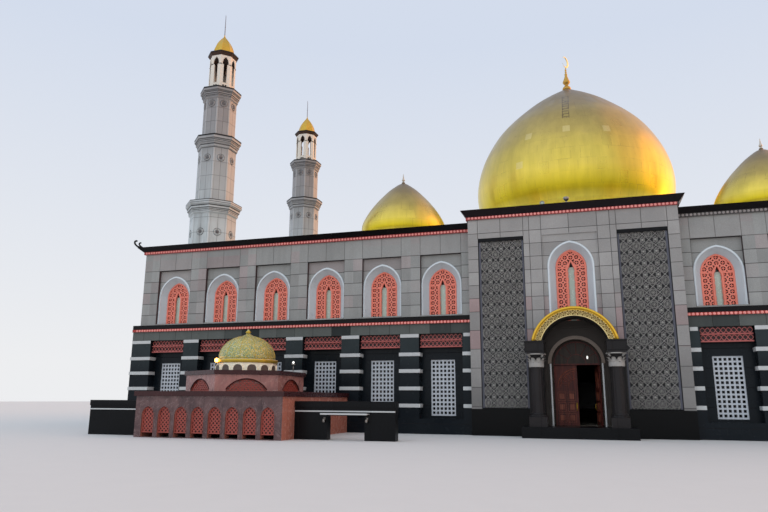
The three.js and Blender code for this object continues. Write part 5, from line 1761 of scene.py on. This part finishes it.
for angle in np.pi / 6 * np.arange(12) + np.pi / 12:
    path = np.column_stack([outerLine[:, 0] * np.sin(angle) + annex["x"],
                            -outerLine[:, 0] * np.cos(angle) + annex["y"], outerLine[:, 1]])
    ribs.append(tube(path, 0.013, 5, flat=(np.cos(angle), np.sin(angle), 0)))
cap = smoothLine([[0.55, 5.36], [0.5, 5.42], [0.3, 5.52], [0.15, 5.62], [0.1, 5.7], [0.16, 5.78],
                  [0.1, 5.86], [0.03, 5.9], [0.02, 5.97]], 4)
cap = np.vstack([[[0, 5.3]], [[0.52, 5.3]], cap, [[0, 5.98]]])
ribs.append(turnedWithPoles(cap, 36, annexAxis))
petals = []
for angle in 2 * np.pi * np.arange(12) / 12:
    c, s = np.cos(angle), np.sin(angle)
    path = np.array([[0.3 * c, 0.3 * s, 5.53], [0.5 * c, 0.5 * s, 5.44], [0.64 * c, 0.64 * s, 5.34],
                     [0.7 * c, 0.7 * s, 5.28]]) + [*annexAxis, 0]
    petals.append(tube(path, 0.05, 6, flat=(-s, c, 0)))
makePiece("annex_dome_gilding", ribs + petals, annexGilt, smooth=True)

# low and high corners: a strip on each wall, and two on the canopy of the gateway
gardenStrips = {
    "low": [[-13.89, -39.53, 1.37], [-26.7, -39.53, 1.37], [-12.35, -39.85, 1.26], [-12.35, -39.86, 1.24]],
    "high": [[-8.5, -39.49, 1.44], [-22.51, -39.49, 1.44], [-9.85, -39.49, 1.3], [-9.85, -39.82, 1.32]],
}
makePiece("garden_wall_strips", [boxes(**gardenStrips)], whiteStone, bevel=0.01)


def lampHead(radius):  # a small bowl with a lens, hung from its top
    return turnedWithPoles([[0, 0], [radius * 0.7, 0.01], [radius, 0.05], [radius * 0.8, 0.16],
                            [radius * 0.3, 0.2], [0, 0.21]], 16)


def pole(foot, top, radius=0.02, sides=8):  # a rod between two points
    points, faces = turnedWithPoles([[0, foot[2]], [radius, foot[2]], [radius, top[2]], [0, top[2]]], sides)
    t = (points[:, 2] - foot[2]) / (top[2] - foot[2])
    return points + spots((1 - t) * foot[0] + t * top[0], (1 - t) * foot[1] + t * top[1]), faces


fittings = {
    "gate": [[-12.24, -39.62, 0.86], [-9.96, -39.62, 0.86]],
    "terrace": [[-19.28, -38.5, 3.98], [-15.25, -37.0, 3.9]],
    "bowl": [-0.04, -32.3, 13.45],
    "disc": [-1.44, -32.25, 13.45],
}
metal = [moved(lampHead(0.07), place) for place in fittings["gate"]]
metal += [boxes([[x - 0.03, -39.62, 1.02], [x - 0.05, -39.52, 0.98]],
                [[x + 0.03, -39.5, 1.06], [x + 0.05, -39.495, 1.12]]) for x, y, z in fittings["gate"]]
metal += [pole([x, y, 3.5], [x, y, z]) for x, y, z in fittings["terrace"]]
dish = turnedWithPoles([[0, -0.02], [0.1, -0.02], [0.12, 0.0], [0.12, 0.02], [0.03, 0.04], [0, 0.05]], 16)
metal += [moved(dish, place) for place in fittings["terrace"]]
bx, by, bz = fittings["bowl"]
metal += [pole([bx, by, bz], [bx, by, bz + 0.18], 0.05, 12),
          moved(turnedWithPoles([[0, 0.16], [0.07, 0.16], [0.14, 0.24], [0.17, 0.3], [0.17, 0.38],
                                 [0.15, 0.39], [0.13, 0.33], [0, 0.3]], 24), (bx, by, bz))]
dx, dy, dz = fittings["disc"]
metal += [pole([dx, dy, dz], [dx, dy, dz + 0.1], 0.03),
          ridge(ringPath(0.12, 20, dy, dx, dz + 0.16), 0.03, 0.05, True)]
makePiece("lamp_fittings", metal, lampMetal, smooth=True)
amber = glowFinish("amber_lamp", linear(255, 170, 70), 14.0)
whiteLamp = glowFinish("white_lamp", linear(246, 246, 240), 1.0)
bulb = turnedWithPoles([[0, 0.0], [0.07, 0.02], [0.11, 0.1], [0.09, 0.19], [0.03, 0.23], [0, 0.235]], 16)
makePiece("amber_bulb", [moved(bulb, np.array(fittings["terrace"][0]) + [0, 0, 0.02])], amber,
          smooth=True)
lens = facingFront(turnedWithPoles([[0, 0], [0.1, 0.0], [0.115, 0.03], [0.1, 0.05], [0, 0.05]], 20))
small = (bulb[0] * 0.6, bulb[1])
white = [moved(small, np.array(fittings["terrace"][1]) + [0, 0, 0.045]),
         moved(turnedWithPoles([[0, -0.05], [0.04, -0.03], [0.05, 0.04], [0.03, 0.12], [0, 0.14]], 14),
               (0.61, -31.55, 4.38))]
makePiece("white_bulbs", white, whiteLamp, smooth=True)
makePiece("roof_lamp_lens", [moved(lens, (dx, dy + 0.02, dz + 0.16))], slotGlass, smooth=True)
print("annex in place")

# Camera, lights and the stage

view = {"place": (0.407, -35.532, 0.9965), "lens": 30.586, "yaw": 17.485, "pitch": 12.42, "roll": 0.304}
cameraData = bpy.data.cameras.new("camera")
cameraData.lens = view["lens"]
cameraData.sensor_width = 36.0
cameraData.clip_end = 500.0
camera = bpy.data.objects.new("camera", cameraData)
camera.location = view["place"]
turns = [Euler((0, 0, np.radians(view["yaw"]))), Euler((np.radians(90 + view["pitch"]), 0, 0)),
         Euler((0, 0, np.radians(view["roll"])))]
yaw, pitch, roll = (turn.to_matrix() for turn in turns)
camera.rotation_euler = (yaw @ pitch @ roll).to_euler()
bpy.context.scene.collection.objects.link(camera)
bpy.context.scene.camera = camera
bpy.context.scene.view_settings.view_transform = "Standard"

sky = {"zenith": linear(211, 220, 236), "horizon": linear(237, 238, 240), "strength": 1.0}
suns = {  # colour, strength, azimuth from +X towards +Y, height and spread in degrees
    "wide_glow": [linear(255, 158, 30), 0.8, 22.0, 12.0, 110.0],
    "low_sun": [linear(255, 166, 30), 0.3, 26.0, 4.0, 60.0],
    "inner_sun": [linear(255, 176, 50), 0.2, 31.0, 1.0, 28.0],
    "sun_core": [linear(255, 222, 130), 0.1, 30.0, -1.0, 5.0],
    "side_glow": [linear(255, 168, 54), 0.9, 30.0, 14.0, 60.0],
    "left_fill": [linear(188, 212, 255), 0.3, 190.0, 25.0, 100.0],
    "front_fill": [linear(232, 238, 240), 0.5, -100.0, 40.0, 90.0],
}
world = bpy.data.worlds.new("studio")
world.use_nodes = True
tree = world.node_tree
background = tree.nodes["Background"]
direction = tree.nodes.new("ShaderNodeTexCoord").outputs["Generated"]
parts = tree.nodes.new("ShaderNodeSeparateXYZ")
tree.links.new(direction, parts.inputs[0])
upwards = tree.nodes.new("ShaderNodeMapRange")
upwards.inputs[1].default_value, upwards.inputs[2].default_value = 0.05, 0.5
tree.links.new(parts.outputs[2], upwards.inputs[0])
gradient = tree.nodes.new("ShaderNodeMix")
gradient.data_type = "RGBA"
gradient.inputs[6].default_value, gradient.inputs[7].default_value = sky["horizon"], sky["zenith"]
tree.links.new(upwards.outputs[0], gradient.inputs["Factor"])
tree.links.new(gradient.outputs[2], background.inputs["Color"])
background.inputs["Strength"].default_value = sky["strength"]
bpy.context.scene.world = world
for name, (colour, strength, azimuth, height, spread) in suns.items():
    sunData = bpy.data.lights.new(name, "SUN")
    sunData.color = colour[:3]
    sunData.energy = strength
    sunData.angle = np.radians(spread)
    sun = bpy.data.objects.new(name, sunData)
    sun.rotation_euler = (0, np.radians(90 - height), np.radians(azimuth))
    bpy.context.scene.collection.objects.link(sun)

stagePaint = paintFinish("stage", linear(211, 211, 207), 0.02, (0.8, 0.9), 2.0, linear(200, 200, 198), 0.1)
mesh = bpy.data.meshes.new("stage")
mesh.from_pydata([(-150, -150, 0), (150, -150, 0), (150, 150, 0), (-150, 150, 0)], [], [(0, 1, 2, 3)])
mesh.materials.append(stagePaint)
stage = bpy.data.objects.new("stage", mesh)
bpy.context.scene.collection.objects.link(stage)

print("camera and lights in place")
